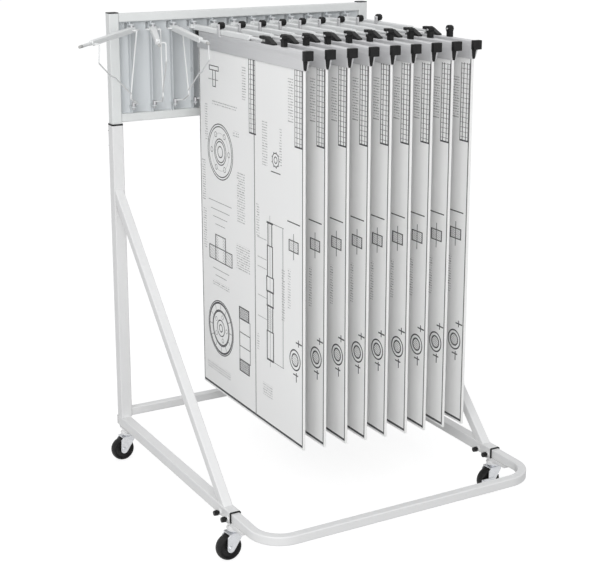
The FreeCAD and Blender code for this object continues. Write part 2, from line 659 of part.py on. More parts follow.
def corrugated_sheet():
    """Sheet section in plan: a shallow arc between each two ribs, one gauge thick."""
    stations = [-RACK_RAIL_HALF] + PIVOTS + [RACK_RAIL_HALF]
    front = RACK_FACE + PANEL_FRONT
    lines = []
    for y in (front, front + PANEL_SHEET):
        arcs = []
        for a, b in zip(stations, stations[1:]):
            depth = PANEL_TROUGH * (b - a) / PIVOT_PITCH
            middle = V((a + b) / 2, y + min(depth, PANEL_TROUGH), BOTTOM_RAIL_TOP)
            arcs.append(Part.Arc(V(a, y, BOTTOM_RAIL_TOP), middle, V(b, y, BOTTOM_RAIL_TOP)).toShape())
        lines.append(arcs)
    ends = []
    for x in (stations[0], stations[-1]):
        low = V(x, front, BOTTOM_RAIL_TOP)
        ends.append(Part.LineSegment(low, low + V(0, PANEL_SHEET, 0)).toShape())
    outline = Part.Wire(lines[0] + [ends[1]] + lines[1][::-1] + [ends[0]])
    return Part.Face(outline).extrude(V(0, 0, TOP_RAIL_UNDER - BOTTOM_RAIL_TOP))


def pivot_lug(x, z):
    """Lug with a rounded nose and a pin hole, narrowing back to the rib it is slotted over."""
    back = RACK_FACE + PANEL_FRONT + PANEL_SHEET / 2
    root = RIB_THICKNESS
    w = LUG_HALF_WIDTH
    nose = Part.Arc(V(x + w, -PIVOT_FORWARD, z), V(x, -PIVOT_FORWARD - w, z), V(x - w, -PIVOT_FORWARD, z))
    outline = [
        V(x - w, -PIVOT_FORWARD, z), V(x - w, RACK_FACE, z), V(x - root, back, z), V(x + root, back, z),
        V(x + w, RACK_FACE, z), V(x + w, -PIVOT_FORWARD, z),
    ]
    edges = [nose.toShape()] + [Part.LineSegment(a, b).toShape() for a, b in zip(outline, outline[1:])]
    lug = Part.Face(Part.Wire(Part.__sortEdges__(edges))).extrude(V(0, 0, LUG_THICKNESS))
    hole = cylinder(PIN_RADIUS + PIN_CLEARANCE, (x, -PIVOT_FORWARD, z - 1), (0, 0, 1), LUG_THICKNESS + 2)
    return lug.cut(hole)


def rack_back_panel():
    """Corrugated panel with a slot beside each rib, the ribs, and two lugs on each rib."""
    sheet = corrugated_sheet()
    half = RIB_THICKNESS / 2
    depth = (RACK_FACE - RIB_SETBACK, RACK_FACE + PANEL_FRONT + PANEL_SHEET / 2)
    top = TOP_RAIL_UNDER - LUG_THICKNESS
    slots = []
    fittings = []
    for x in PIVOTS:
        left = x - SLOT_OFFSET - SLOT_WIDTH / 2
        slots.append(block((left, left + SLOT_WIDTH), (RACK_FACE, -RACK_FACE), (top - SLOT_HEIGHT, top)))
        rib = block((x - half, x + half), depth, (BOTTOM_RAIL_TOP, TOP_RAIL_UNDER)).cut(sheet)
        lugs = [pivot_lug(x, z).cut(sheet).cut(rib) for z in (UPPER_LUG, LOWER_LUG)]
        fittings += [rib] + lugs
    return Part.makeCompound([sheet.cut(Part.makeCompound(slots))] + fittings)


def tube_end_caps():
    """Black plugs in the tops of the rack tubes."""
    tops = [(sign * UPRIGHT_X, 0, RACK_TOP) for sign in SIDES.values()]
    return Part.makeCompound([end_plug(top, (0, 0, 1), RACK_TUBE, RACK_WALL) for top in tops])


# ---------------------------------------------------------------- hangers


def channel_section(r, half):
    """Inverted channel with round shoulders, across the arm at distance r."""
    roof = ARM_CORNER - ARM_SHEET
    outer_cut = ARM_CORNER * (1 - math.sqrt(0.5))
    inner_cut = roof * (1 - math.sqrt(0.5))

    def point(x, z):
        return V(x, -r, z)

    edges = []
    for sign in (-1, 1):
        outer = sign * half
        inner = sign * (half - ARM_SHEET)
        shoulder = [point(outer, ARM_TOP - ARM_CORNER),
                    point(outer - sign * outer_cut, ARM_TOP - outer_cut),
                    point(outer - sign * ARM_CORNER, ARM_TOP)]
        fold = [point(inner, ARM_TOP - ARM_CORNER),
                point(inner - sign * inner_cut, ARM_TOP - ARM_SHEET - inner_cut),
                point(inner - sign * roof, ARM_TOP - ARM_SHEET)]
        edges += [Part.Arc(*shoulder).toShape(), Part.Arc(*fold).toShape()]
        edges.append(Part.LineSegment(point(outer, ARM_UNDER), shoulder[0]).toShape())
        edges.append(Part.LineSegment(point(inner, ARM_UNDER), fold[0]).toShape())
        edges.append(Part.LineSegment(point(outer, ARM_UNDER), point(inner, ARM_UNDER)).toShape())
    flat = half - ARM_CORNER
    for z in (ARM_TOP, ARM_TOP - ARM_SHEET):
        edges.append(Part.LineSegment(point(-flat, z), point(flat, z)).toShape())
    return Part.Wire(Part.__sortEdges__(edges))


def hanger_flange():
    """Wide flat flange at the root of the arm, with one front corner cut."""
    outline = [
        (-FLANGE_HALF, FLANGE_REAR), (-FLANGE_HALF, FLANGE_CUT - FLANGE_FRONT),
        (FLANGE_CUT - FLANGE_HALF, -FLANGE_FRONT), (FLANGE_HALF, -FLANGE_FRONT), (FLANGE_HALF, FLANGE_REAR),
    ]
    z = FINGER_Z - FLANGE_THICKNESS / 2
    return face_of([(x, y, z) for x, y in outline]).extrude(V(0, 0, FLANGE_THICKNESS))


def finger_tip():
    """Rubber tip on the end of the finger, chamfered at its nose."""
    start = FINGER_REACH - TIP_LENGTH
    sleeve = cylinder(TIP_RADIUS, (0, -start, FINGER_Z), (0, -1, 0), TIP_LENGTH - TIP_CHAMFER)
    nose = Part.makeCone(TIP_RADIUS, TIP_RADIUS - TIP_CHAMFER, TIP_CHAMFER,
                         V(0, TIP_CHAMFER - FINGER_REACH, FINGER_Z), V(0, -1, 0))
    return fused([sleeve, nose])


def wire_brace():
    """Post wire with its tail to the lower pin, and the thin diagonal up to the arm."""
    side = WIRE_OFFSET
    vertex = V(side, -BRACE_VERTEX_OUT, ARM_TOP - BRACE_VERTEX_DROP)
    post_top = V(side, -POST_OUT, FINGER_Z)
    tail_end = V(0, 0, PIN_SHELF + BUSH_LENGTH - WIRE_RADIUS - 1)
    post_and_tail = [post_top, vertex, V(side, -TAIL_OUT, tail_end.z + TAIL_RISE), tail_end]
    join = V(side, DIAGONAL_END - ARM_LENGTH, CLAMP_TOP + CAP_RISE + CLAMP_GAP + DIAGONAL_RADIUS)
    diagonal = [post_top + (vertex - post_top) * DIAGONAL_WELD]
    diagonal += [V(side, -out, ARM_TOP - drop) for out, drop in DIAGONAL_TURNS]
    diagonal += [join, join + V(ARM_END_HALF - ARM_SHEET / 2 - side, 0, 0)]
    post = bent_rod(post_and_tail, WIRE_RADIUS, WIRE_BEND)
    return [post, bent_rod(diagonal, DIAGONAL_RADIUS, WIRE_BEND)]


def finger():
    """Round finger with a neck at the arm's end and a squared root that fills the channel there."""
    start = ARM_LENGTH + FINGER_NECK
    half = ARM_END_HALF - ARM_SHEET + ROOT_BITE
    root = block((-half, half), (-ARM_LENGTH, FINGER_ROOT - ARM_LENGTH),
                 (FINGER_Z - FINGER_RADIUS, ARM_TOP - ARM_SHEET + ROOT_BITE))
    neck = cylinder(FINGER_RADIUS - FINGER_RELIEF, (0, FINGER_NECK - ARM_LENGTH, FINGER_Z), (0, -1, 0),
                    2 * FINGER_NECK)
    bar = cylinder(FINGER_RADIUS, (0, -start, FINGER_Z), (0, -1, 0), FINGER_REACH - TIP_LENGTH - start)
    return [root, neck, bar]


def hanger():
    """Pivot hanger about its own axis with the arm along -Y."""
    root = channel_section(0, ARM_ROOT_HALF)
    end = channel_section(ARM_LENGTH, ARM_END_HALF)
    pin_top = UPPER_LUG + LUG_THICKNESS + PIN_ABOVE_LUG
    pin_foot = LOWER_LUG - PIN_BELOW_LUG
    pieces = [
        Part.makeLoft([root, end], True, True),
        hanger_flange(),
        cylinder(HUB_RADIUS, (0, 0, ARM_UNDER), (0, 0, 1), ARM_HEIGHT),
        cylinder(BUSH_RADIUS, (0, 0, ARM_TOP), (0, 0, 1), UPPER_LUG - SEAT_GAP - ARM_TOP),
        cylinder(PIN_RADIUS, (0, 0, ARM_TOP), (0, 0, 1), pin_top - ARM_TOP),
        cylinder(BUSH_RADIUS, (0, 0, PIN_SHELF), (0, 0, 1), BUSH_LENGTH),
        cylinder(PIN_RADIUS, (0, 0, pin_foot), (0, 0, 1), PIN_SHELF + BUSH_LENGTH / 2 - pin_foot),
    ]
    return Part.makeCompound([fused(pieces + finger() + wire_brace()), finger_tip()])


# ---------------------------------------------------------------- clamps and sheets


def jaw_back(sign):
    """Outer side of one jaw: straight from the gripping edge, then round to the flat top."""
    waist = V(sign * CLAMP_HALF, 0, CLAMP_TOP - JAW_SHOULDER)
    crown = V(sign * (CLAMP_HALF - JAW_ROUND), 0, CLAMP_TOP)
    middle = V(sign * (CLAMP_HALF - 0.22 * JAW_ROUND), 0, CLAMP_TOP - 0.32 * JAW_SHOULDER)
    edge = V(sign * (JAW_CAVITY + JAW_TIP), 0, CLAMP_BOTTOM)
    side = Part.LineSegment(edge, waist).toShape()
    return [side, Part.Arc(waist, middle, crown).toShape()], edge, crown


def jaw_section():
    """Right jaw of the clamp in XZ: hollow extrusion that tapers to its gripping edge."""
    roof = CLAMP_TOP - JAW_ROOF
    edges, edge, crown = jaw_back(1)
    inner = [
        crown, V(JAW_SPLIT, 0, CLAMP_TOP), V(JAW_SPLIT, 0, roof), V(JAW_CAVITY, 0, roof),
        V(JAW_CAVITY, 0, CLAMP_BOTTOM), edge,
    ]
    edges += [Part.LineSegment(a, b).toShape() for a, b in zip(inner, inner[1:])]
    wall = JAW_WALL
    lumen = face_of([
        (JAW_CAVITY + wall, 0, CLAMP_BOTTOM + LUMEN_RISE),
        (CLAMP_HALF - 1.25 * wall, 0, roof - LUMEN_CHAMFER),
        (CLAMP_HALF - 1.75 * wall, 0, roof), (JAW_CAVITY + wall, 0, roof),
    ])
    return Part.Face(Part.Wire(edges)).cut(lumen).Faces[0]


def jaw(mirror, ears):
    """One jaw of the clamp with the ears that carry the knobs' studs."""
    body = jaw_section().extrude(V(0, -CLAMP_LENGTH, 0))
    body.translate(V(0, -CLAMP_START, 0))
    foot = CLAMP_TOP - JAW_ROOF + JAW_WALL
    for r in ears:
        ear = block((EAR_INNER, EAR_OUTER), (-r - EAR_LENGTH / 2, -r + EAR_LENGTH / 2),
                    (foot, STUD_Z + STUD_RADIUS + EAR_RIM))
        body = body.fuse(ear)
        body = body.cut(cylinder(STUD_RADIUS + PIN_CLEARANCE, (0, -r, STUD_Z), (1, 0, 0), 2 * CLAMP_HALF))
    body = body.removeSplitter()
    return body.mirror(V(0, 0, 0), V(1, 0, 0)) if mirror else body


def clamp_outline():
    """Outline of both closed jaws in XZ, grown by the caps' fit."""
    right, right_edge, right_crown = jaw_back(1)
    left, left_edge, left_crown = jaw_back(-1)
    across = [Part.LineSegment(right_crown, left_crown).toShape(),
              Part.LineSegment(left_edge, right_edge).toShape()]
    outline = Part.Wire(Part.__sortEdges__(right + left + across))
    return Part.Face(outline.makeOffset2D(CAP_FIT))


def end_cap(start, length, wedge):
    """Plastic cap over one end of the jaws, from start outward."""
    top = CLAMP_TOP + CAP_RISE
    bevelled = [
        (CAP_HALF - CAP_BEVEL, top), (CAP_HALF, top - CAP_BEVEL), (CAP_HALF, top - CAP_TALL + CAP_BEVEL),
        (CAP_HALF - CAP_BEVEL, top - CAP_TALL),
    ]
    section = [(x, -start, z) for x, z in bevelled] + [(-x, -start, z) for x, z in reversed(bevelled)]
    cap = face_of(section).extrude(V(0, -length, 0))
    if wedge:
        low = top - CAP_TALL + CAP_BEVEL / 2
        tip = CLAMP_BOTTOM + CAP_BEVEL / 2
        outline = [(WEDGE_TOP_HALF, low), (WEDGE_TIP_HALF, tip),
                   (-WEDGE_TIP_HALF, tip), (-WEDGE_TOP_HALF, low)]
        face = face_of([(x, -CLAMP_END, z) for x, z in outline])
        cap = cap.fuse(face.extrude(V(0, -start - length + CLAMP_END, 0)))
    pocket = clamp_outline().extrude(V(0, -CLAMP_LENGTH, 0))
    pocket.translate(V(0, -CLAMP_START, 0))
    return cap.cut(pocket).removeSplitter()


def rear_cap():
    """Rear cap, notched on top so that the hanger's arm passes over it."""
    start = CLAMP_START - REAR_CAP
    cap = end_cap(start, REAR_CAP + CAP_COVER, False)
    half = ARM_ROOT_HALF + CLAMP_GAP
    return cap.cut(block((-half, half), (-CLAMP_END, 0), (CLAMP_TOP, CLAMP_TOP + 2 * CAP_RISE)))


def knob_and_stud(r):
    """Cross stud with a nut at its left end and a ribbed knob at its right end."""
    start = -EAR_OUTER - NUT_WIDTH
    stud = cylinder(STUD_RADIUS, (start, -r, STUD_Z), (1, 0, 0), KNOB_START - start + KNOB_LENGTH / 2)
    nut = cylinder(NUT_ACROSS / 2, (start, -r, STUD_Z), (1, 0, 0), NUT_WIDTH)
    grip = fluted_knob(KNOB_RADIUS, KNOB_FLUTE, KNOB_RIBS, KNOB_LENGTH, KNOB_TAPER)
    return fused([stud, nut, placed(grip, (KNOB_START, -r, STUD_Z), (1, 0, 0), (0, 1, 0))])


def latch():
    """Black latch: a foot on the jaws and a lip that holds the hanger's finger down."""
    foot = CLAMP_TOP
    top = CLAMP_TOP + LATCH_TOP
    low = FINGER_Z - FINGER_RADIUS - LATCH_GAP
    high = FINGER_Z + FINGER_RADIUS + LATCH_GAP
    slot = FINGER_REACH + LATCH_FREE
    heel = LATCH_START + LATCH_HEEL
    end = LATCH_START + LATCH_LENGTH
    outline = [
        (heel, foot), (end, foot), (end, foot + LATCH_TOE), (end - LATCH_SLOPE, top), (LATCH_START, top),
        (LATCH_START, high), (slot, high), (slot, low), (heel, low),
    ]
    return face_of([(-LATCH_HALF, -r, z) for r, z in outline]).extrude(V(2 * LATCH_HALF, 0, 0))


def clamp():
    """Hanging clamp about its hanger's pivot: two jaws, caps, latch and two knobs."""
    return Part.makeCompound([
        jaw(True, (REAR_KNOB, FRONT_KNOB)),
        jaw(False, (FRONT_KNOB,)),
        rear_cap(),
        end_cap(CLAMP_END - CAP_COVER, CAP_COVER + FRONT_CAP, True),
        latch(),
        knob_and_stud(REAR_KNOB),
        knob_and_stud(FRONT_KNOB),
    ])


def sheet_bundle(index):
    """Bundle of plans that hangs in the jaws."""
    top = CLAMP_TOP - JAW_ROOF - SHEET_TOP_GAP - SHEET_STEP * index
    half = SHEET_THICKNESS / 2
    middle = CLAMP_START + CLAMP_LENGTH / 2
    return block((-half, half), (-middle - SHEET_WIDTH / 2, -middle + SHEET_WIDTH / 2),
                 (top - SHEET_HEIGHT, top))


# ---------------------------------------------------------------- assembly


def frame_nodes():
    """The fixed frame, the U base, the casters and the screws."""
    nodes = {}
    for name, sign in SIDES.items():
        nodes[name + "_upright"] = upright(sign)
        nodes[name + "_rail"] = side_rail(sign)
        nodes[name + "_brace"] = brace(sign)
        for number, back in enumerate(RAIL_SCREWS, 1):
            nodes["%s_depth_screw_%d" % (name, number)] = rail_screw(sign, back)
        for number, drop in enumerate(UPRIGHT_SCREWS, 1):
            nodes["%s_height_screw_%d" % (name, number)] = upright_screw(sign, drop)
    nodes["rear_cross_tube"] = rear_cross_tube()
    nodes["tube_collars"] = tube_collars()
    nodes["front_u_tube"] = front_u_tube()
    for name, (x, y, brake) in CASTERS.items():
        nodes[name + "_fork"] = caster_fork(x, y, brake)
        nodes[name + "_wheel"] = caster_wheel(x, y)
    return nodes


def rack_nodes():
    """The sliding rack with its hangers, clamps and sheets."""
    nodes = {
        "rack_side_tubes": rack_side_tubes(),
        "rack_top_rail": rack_rail(TOP_RAIL_UNDER),
        "rack_bottom_rail": rack_rail(RACK_BOTTOM),
        "rack_back_panel": rack_back_panel(),
        "tube_end_caps": tube_end_caps(),
    }
    one_hanger = hanger()
    one_clamp = clamp()
    yaws = list(HANGER_YAW) + [0.0] * (HANGERS - len(HANGER_YAW))
    first_clamped = HANGERS - CLAMPS
    for i, (x, yaw) in enumerate(zip(PIVOTS, yaws)):
        nodes["hanger_%02d" % (i + 1)] = turned(one_hanger, x, -PIVOT_FORWARD, yaw)
        if i >= first_clamped:
            number = i - first_clamped
            nodes["clamp_%d" % (number + 1)] = turned(one_clamp, x, -PIVOT_FORWARD, yaw)
            nodes["sheets_%d" % (number + 1)] = turned(sheet_bundle(number), x, -PIVOT_FORWARD, yaw)
    return nodes


def base_centre(nodes):
    """Middle of the whole model's box, at floor level."""
    box = FreeCAD.BoundBox()
    for shape in nodes.values():
        box.add(shape.optimalBoundingBox(False, False))
    return V((box.XMin + box.XMax) / 2, (box.YMin + box.YMax) / 2, box.ZMin)


def main():
    """Build every node, stand the model's box centre over the origin and write STEP files."""
    nodes = frame_nodes()
    nodes.update(rack_nodes())
    centre = base_centre(nodes)
    os.makedirs("parts", exist_ok=True)
    for name, shape in nodes.items():
        shape.translate(centre.negative())
        shape.exportStep("parts/%s.step" % name)
    print("nodes", len(nodes), "shift", [round(c, 4) for c in centre])
    return nodes


if __name__ == "__main__":
    main()
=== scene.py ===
# %% [markdown]
# # A plan hanging rack, dressed for its picture
# The rack is already built: every tube, hanger, clamp and caster arrives as a finished
# mesh with its joints. What is left is what the eye reads: paint, plastic, bare metal,
# clamps with their knobs and threads, paper with line drawings on it, light and a
# camera. Each step says what the thing is on the real rack and why it is made this way.

# %% Load the rack
import bpy
import json
import math
import numpy as np
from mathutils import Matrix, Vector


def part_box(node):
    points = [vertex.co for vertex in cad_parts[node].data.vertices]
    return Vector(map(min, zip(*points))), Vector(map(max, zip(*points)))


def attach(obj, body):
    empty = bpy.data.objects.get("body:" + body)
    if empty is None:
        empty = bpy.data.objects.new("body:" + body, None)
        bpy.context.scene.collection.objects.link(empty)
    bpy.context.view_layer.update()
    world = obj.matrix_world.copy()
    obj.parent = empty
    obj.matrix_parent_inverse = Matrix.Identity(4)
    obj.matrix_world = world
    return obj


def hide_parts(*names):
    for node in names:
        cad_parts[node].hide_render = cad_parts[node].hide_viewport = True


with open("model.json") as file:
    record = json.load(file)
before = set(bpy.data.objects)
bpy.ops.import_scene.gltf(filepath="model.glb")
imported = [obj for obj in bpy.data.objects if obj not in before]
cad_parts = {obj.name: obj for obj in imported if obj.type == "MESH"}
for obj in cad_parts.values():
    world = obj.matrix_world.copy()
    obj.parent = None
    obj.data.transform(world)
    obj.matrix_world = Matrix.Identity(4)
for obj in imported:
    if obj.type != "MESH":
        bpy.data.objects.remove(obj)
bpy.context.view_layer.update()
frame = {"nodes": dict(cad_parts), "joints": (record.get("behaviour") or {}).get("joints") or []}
nodes = frame["nodes"]

# %% [markdown]
# ## Where things turn
# The record of the rack lists each joint with its place. The pivots of the hangers are
# needed again and again, for the finish of each hanger and the place of each clamp, so
# they are read from there once. Reading them is safer than typing them: if the rack is
# rebuilt with another spacing, everything moves with it.

# %% Read the joints
joints = {j["name"]: j for j in frame["joints"]}
pivots = np.array([joints["hanger_%02d_swing" % n]["pos_m"] for n in range(1, 13)])
pitch = float(np.diff(pivots[:, 0]).mean())
print("pivot pitch %.1f mm" % (pitch * 1000))

# %% [markdown]
# ## The camera
# A product picture of something this tall is taken from far away with a long lens, so
# that upright tubes stay upright. Tilting a camera down makes them lean together, and
# the usual cure is a lens that slides down instead. Here the camera tilts a little, and
# the slide, called shift, moves only the framing.

# %% Camera
CAMERA_PLACE = (-1.4089, -2.5759, 1.3752)
TILT_DOWN, TURN_RIGHT = 13.6, 29.4
SENSOR_MM, LENS_MM, SHIFT = 36.0, 80.28, -0.12

lens_data = bpy.data.cameras.new("view_camera")
lens_data.sensor_width = SENSOR_MM
lens_data.lens = LENS_MM
lens_data.shift_y = SHIFT
lens_data.clip_end = 60.0
camera = bpy.data.objects.new("view_camera", lens_data)
camera.location = CAMERA_PLACE
camera.rotation_euler = (math.radians(90 - TILT_DOWN), 0.0, math.radians(-TURN_RIGHT))
bpy.context.scene.collection.objects.link(camera)
bpy.context.scene.camera = camera
print("camera distance %.2f m" % camera.location.length)

# %% [markdown]
# ## Room and light
# White things on white need light from everywhere and a little more from one side.
# Two big soft lamps stand in front and to the left, one high and one lower, and give
# each square tube a light face and a grey face. The room's own light does the rest, and
# between the hanging sheets, where it can't reach, it leaves soft grey bands that show
# how deep the gaps are.
#
# The backdrop should be paper white without lighting the rack any more, so the room is
# white only for rays that come from the camera, or reach it by a mirror or through
# glass. The floor glows for the same rays, and a share of plain matt paint is added to
# the glow, so that it still takes the rack's shadow.

# %% Room, lamps and floor
ROOM_LIGHT = 0.66
LAMP_TARGET = (0.0, 0.0, 0.6)
FLOOR_REACH, FLOOR_PAINT, FLOOR_GLOW = 18.0, 0.38, 0.78

scene = bpy.context.scene
scene.view_settings.view_transform = "Standard"


def background_rays(tree):
    """1 for a ray from the camera, off a mirror or through glass, 0 for a ray that lights things."""
    path = tree.nodes.new("ShaderNodeLightPath")
    either = tree.nodes.new("ShaderNodeMath")
    either.operation = "MAXIMUM"
    tree.links.new(path.outputs["Is Camera Ray"], either.inputs[0])
    tree.links.new(path.outputs["Is Glossy Ray"], either.inputs[1])
    both = tree.nodes.new("ShaderNodeMath")
    both.operation = "MAXIMUM"
    tree.links.new(either.outputs[0], both.inputs[0])
    tree.links.new(path.outputs["Is Transmission Ray"], both.inputs[1])
    return both.outputs[0]


room = bpy.data.worlds.new("studio_room")
scene.world = room
room.use_nodes = True
tree = room.node_tree
tree.nodes.clear()
lit = tree.nodes.new("ShaderNodeBackground")
lit.inputs["Color"].default_value = (0.98, 0.99, 1.0, 1.0)
lit.inputs["Strength"].default_value = ROOM_LIGHT
seen = tree.nodes.new("ShaderNodeBackground")
seen.inputs["Color"].default_value = (1.0, 1.0, 1.0, 1.0)
seen.inputs["Strength"].default_value = 1.0
pick = tree.nodes.new("ShaderNodeMixShader")
tree.links.new(background_rays(tree), pick.inputs[0])
tree.links.new(lit.outputs[0], pick.inputs[1])
tree.links.new(seen.outputs[0], pick.inputs[2])
out = tree.nodes.new("ShaderNodeOutputWorld")
tree.links.new(pick.outputs[0], out.inputs["Surface"])


def soft_lamp(name, place, size, power):
    """Square area lamp at a place, turned towards the middle of the rack."""
    data = bpy.data.lights.new(name, "AREA")
    data.size = size
    data.energy = power
    lamp = bpy.data.objects.new(name, data)
    lamp.location = place
    away = np.array(place, float) - np.array(LAMP_TARGET)
    lamp.rotation_euler = (math.atan2(math.hypot(away[0], away[1]), away[2]), 0.0,
                           math.atan2(away[1], away[0]) + math.pi / 2)
    scene.collection.objects.link(lamp)


soft_lamp("window", (-2.7, -2.7, 2.6), 2.4, 62.0)
soft_lamp("front", (-1.8, -3.6, 1.7), 2.0, 46.0)

floor_mesh = bpy.data.meshes.new("floor")
corners = [(x * FLOOR_REACH, y * FLOOR_REACH, 0.0) for x, y in ((-1, -1), (1, -1), (1, 1), (-1, 1))]
floor_mesh.from_pydata(corners, [], [(0, 1, 2, 3)])
floor = bpy.data.objects.new("floor", floor_mesh)
scene.collection.objects.link(floor)
paper_floor = bpy.data.materials.new("white_floor")
paper_floor.use_nodes = True
tree = paper_floor.node_tree
tree.nodes.clear()
matt = tree.nodes.new("ShaderNodeBsdfDiffuse")
matt.inputs["Color"].default_value = (FLOOR_PAINT, FLOOR_PAINT, FLOOR_PAINT, 1.0)
glow = tree.nodes.new("ShaderNodeEmission")
dim = tree.nodes.new("ShaderNodeMath")
dim.operation = "MULTIPLY"
dim.inputs[1].default_value = FLOOR_GLOW
tree.links.new(background_rays(tree), dim.inputs[0])
tree.links.new(dim.outputs[0], glow.inputs["Strength"])
both = tree.nodes.new("ShaderNodeAddShader")
tree.links.new(matt.outputs[0], both.inputs[0])
tree.links.new(glow.outputs[0], both.inputs[1])
out = tree.nodes.new("ShaderNodeOutputMaterial")
tree.links.new(both.outputs[0], out.inputs["Surface"])
floor_mesh.materials.append(paper_floor)
print("lamps and floor ready")

# %% [markdown]
# ## A small language for materials
# A material is a graph of small steps. Writing each node and each wire by hand hides
# the idea, so this class keeps one graph and offers the few steps that the finishes
# below share: arithmetic, noise in millimetres, a blend between two colours, a bump.
# Values that stay the same all over a surface are set on the shader itself.

# %% Helper for node graphs


class Finish:
    """One material's graph, with short calls for the steps that it is made of."""

    def __init__(self, name):
        self.material = bpy.data.materials.new(name)
        self.material.use_nodes = True
        self.tree = self.material.node_tree
        self.shader = self.tree.nodes["Principled BSDF"]
        self.place = self.tree.nodes.new("ShaderNodeTexCoord").outputs["Object"]

    def feed(self, socket, value):
        """Put a number, a colour or another step's output into a socket."""
        if isinstance(value, bpy.types.NodeSocket):
            self.tree.links.new(value, socket)
        else:
            socket.default_value = value

    def math(self, operation, a, b=None, c=None, clamp=False):
        """One arithmetic step on numbers."""
        node = self.tree.nodes.new("ShaderNodeMath")
        node.operation = operation
        node.use_clamp = clamp
        for socket, value in zip(node.inputs, (a, b, c)):
            if value is not None:
                self.feed(socket, value)
        return node.outputs[0]

    def length(self, a, b):
        """Length of an arrow whose two parts are a and b."""
        squares = self.math("ADD", self.math("MULTIPLY", a, a), self.math("MULTIPLY", b, b))
        return self.math("SQRT", squares)

    def axes(self, vector):
        """The three parts of a vector."""
        node = self.tree.nodes.new("ShaderNodeSeparateXYZ")
        self.feed(node.inputs[0], vector)
        return node.outputs[0], node.outputs[1], node.outputs[2]

    def noise(self, size_mm, detail=3.0, stretch=(1, 1, 1)):
        """Smooth noise from 0 to 1 whose blotches are about size_mm wide, stretched along an axis."""
        scaled = self.tree.nodes.new("ShaderNodeMapping")
        self.feed(scaled.inputs["Vector"], self.place)
        scaled.inputs["Scale"].default_value = tuple(1.0 / s for s in stretch)
        node = self.tree.nodes.new("ShaderNodeTexNoise")
        self.feed(node.inputs["Vector"], scaled.outputs[0])
        node.inputs["Scale"].default_value = 1000.0 / size_mm
        node.inputs["Detail"].default_value = detail
        return node.outputs[0]

    def ramp(self, value, low, high, a=0.0, b=1.0):
        """Straight rise of a value from a to b between low and high, flat outside."""
        node = self.tree.nodes.new("ShaderNodeMapRange")
        for socket, v in zip(node.inputs, (value, low, high, a, b)):
            self.feed(socket, v)
        return node.outputs[0]

    def inside(self, value, low, high):
        """1 where a value lies between two limits, else 0."""
        return self.math("COMPARE", value, (low + high) / 2, (high - low) / 2)

    def most(self, *masks):
        """The largest of several masks: one or the other."""
        result = masks[0]
        for mask in masks[1:]:
            result = self.math("MAXIMUM", result, mask)
        return result

    def both(self, *masks):
        """The product of several masks: all of them at once."""
        result = masks[0]
        for mask in masks[1:]:
            result = self.math("MULTIPLY", result, mask)
        return result

    def blend(self, share, a, b):
        """Colour a where share is 0 and colour b where it is 1."""
        node = self.tree.nodes.new("ShaderNodeMix")
        node.data_type = "RGBA"
        self.feed(node.inputs[0], share)
        for socket, value in ((node.inputs[6], a), (node.inputs[7], b)):
            self.feed(socket, value if isinstance(value, bpy.types.NodeSocket) else (*value, 1.0))
        return node.outputs[2]

    def bump(self, height, depth_mm, normal=None):
        """Bend the light as if the surface rose by depth_mm where height is 1."""
        node = self.tree.nodes.new("ShaderNodeBump")
        node.inputs["Strength"].default_value = 1.0
        node.inputs["Distance"].default_value = depth_mm / 1000.0
        self.feed(node.inputs["Height"], height)
        if normal:
            self.feed(node.inputs["Normal"], normal)
        return node.outputs[0]

    def soft_edges(self, radius_mm):
        """Normal that rounds each sharp edge over a small radius."""
        node = self.tree.nodes.new("ShaderNodeBevel")
        node.samples = 4
        node.inputs["Radius"].default_value = radius_mm / 1000.0
        return node.outputs[0]

    def edge_wear(self, radius_mm, low, high):
        """1 along worn edges: where the rounded normal leaves the true one."""
        rounded = self.soft_edges(radius_mm)
        true = self.tree.nodes.new("ShaderNodeNewGeometry").outputs["Normal"]
        dot = self.tree.nodes.new("ShaderNodeVectorMath")
        dot.operation = "DOT_PRODUCT"
        self.feed(dot.inputs[0], rounded)
        self.feed(dot.inputs[1], true)
        return self.ramp(dot.outputs["Value"], high, low)

    def finish(self, colour, rough, metal=0.0, normal=None, **fixed):
        """Connect the shader and return the material."""
        self.feed(self.shader.inputs["Base Color"],
                  colour if isinstance(colour, bpy.types.NodeSocket) else (*colour, 1.0))
        self.feed(self.shader.inputs["Roughness"], rough)
        self.feed(self.shader.inputs["Metallic"], metal)
        if normal:
            self.feed(self.shader.inputs["Normal"], normal)
        for name, value in fixed.items():
            self.shader.inputs[name.replace("_", " ")].default_value = value
        return self.material


def wear(node_names, material):
    """Give a material to a list of parts, in place of the plain one they came with."""
    for name in node_names:
        mesh = nodes[name].data
        mesh.materials.clear()
        mesh.materials.append(material)
    print(material.name, "on", len(node_names), "parts")


# %% [markdown]
# ## Enamel on steel tube
# The frame is square steel tube sprayed light grey and baked. Up close such enamel is
# never flat: it has a faint orange-peel skin, its gloss changes in slow patches, and
# after some years of rolling about it has fine scuffs and edges rubbed thin. A scanned
# texture would show its seams on a tube this long, so the skin, the patches and the
# scuffs are noise of three sizes, measured in millimetres in the rack's own space.

# %% Enamel
PEEL_SIZE, PEEL_DEPTH, TUBE_EDGE = 1.9, 0.03, 0.6
PATCH_SIZE, SCUFF_SIZE, SCUFF_AREA, CHIP_SIZE = 90, 2.6, 55, 9
SCUFF_LENGTH = (1, 1, 7)


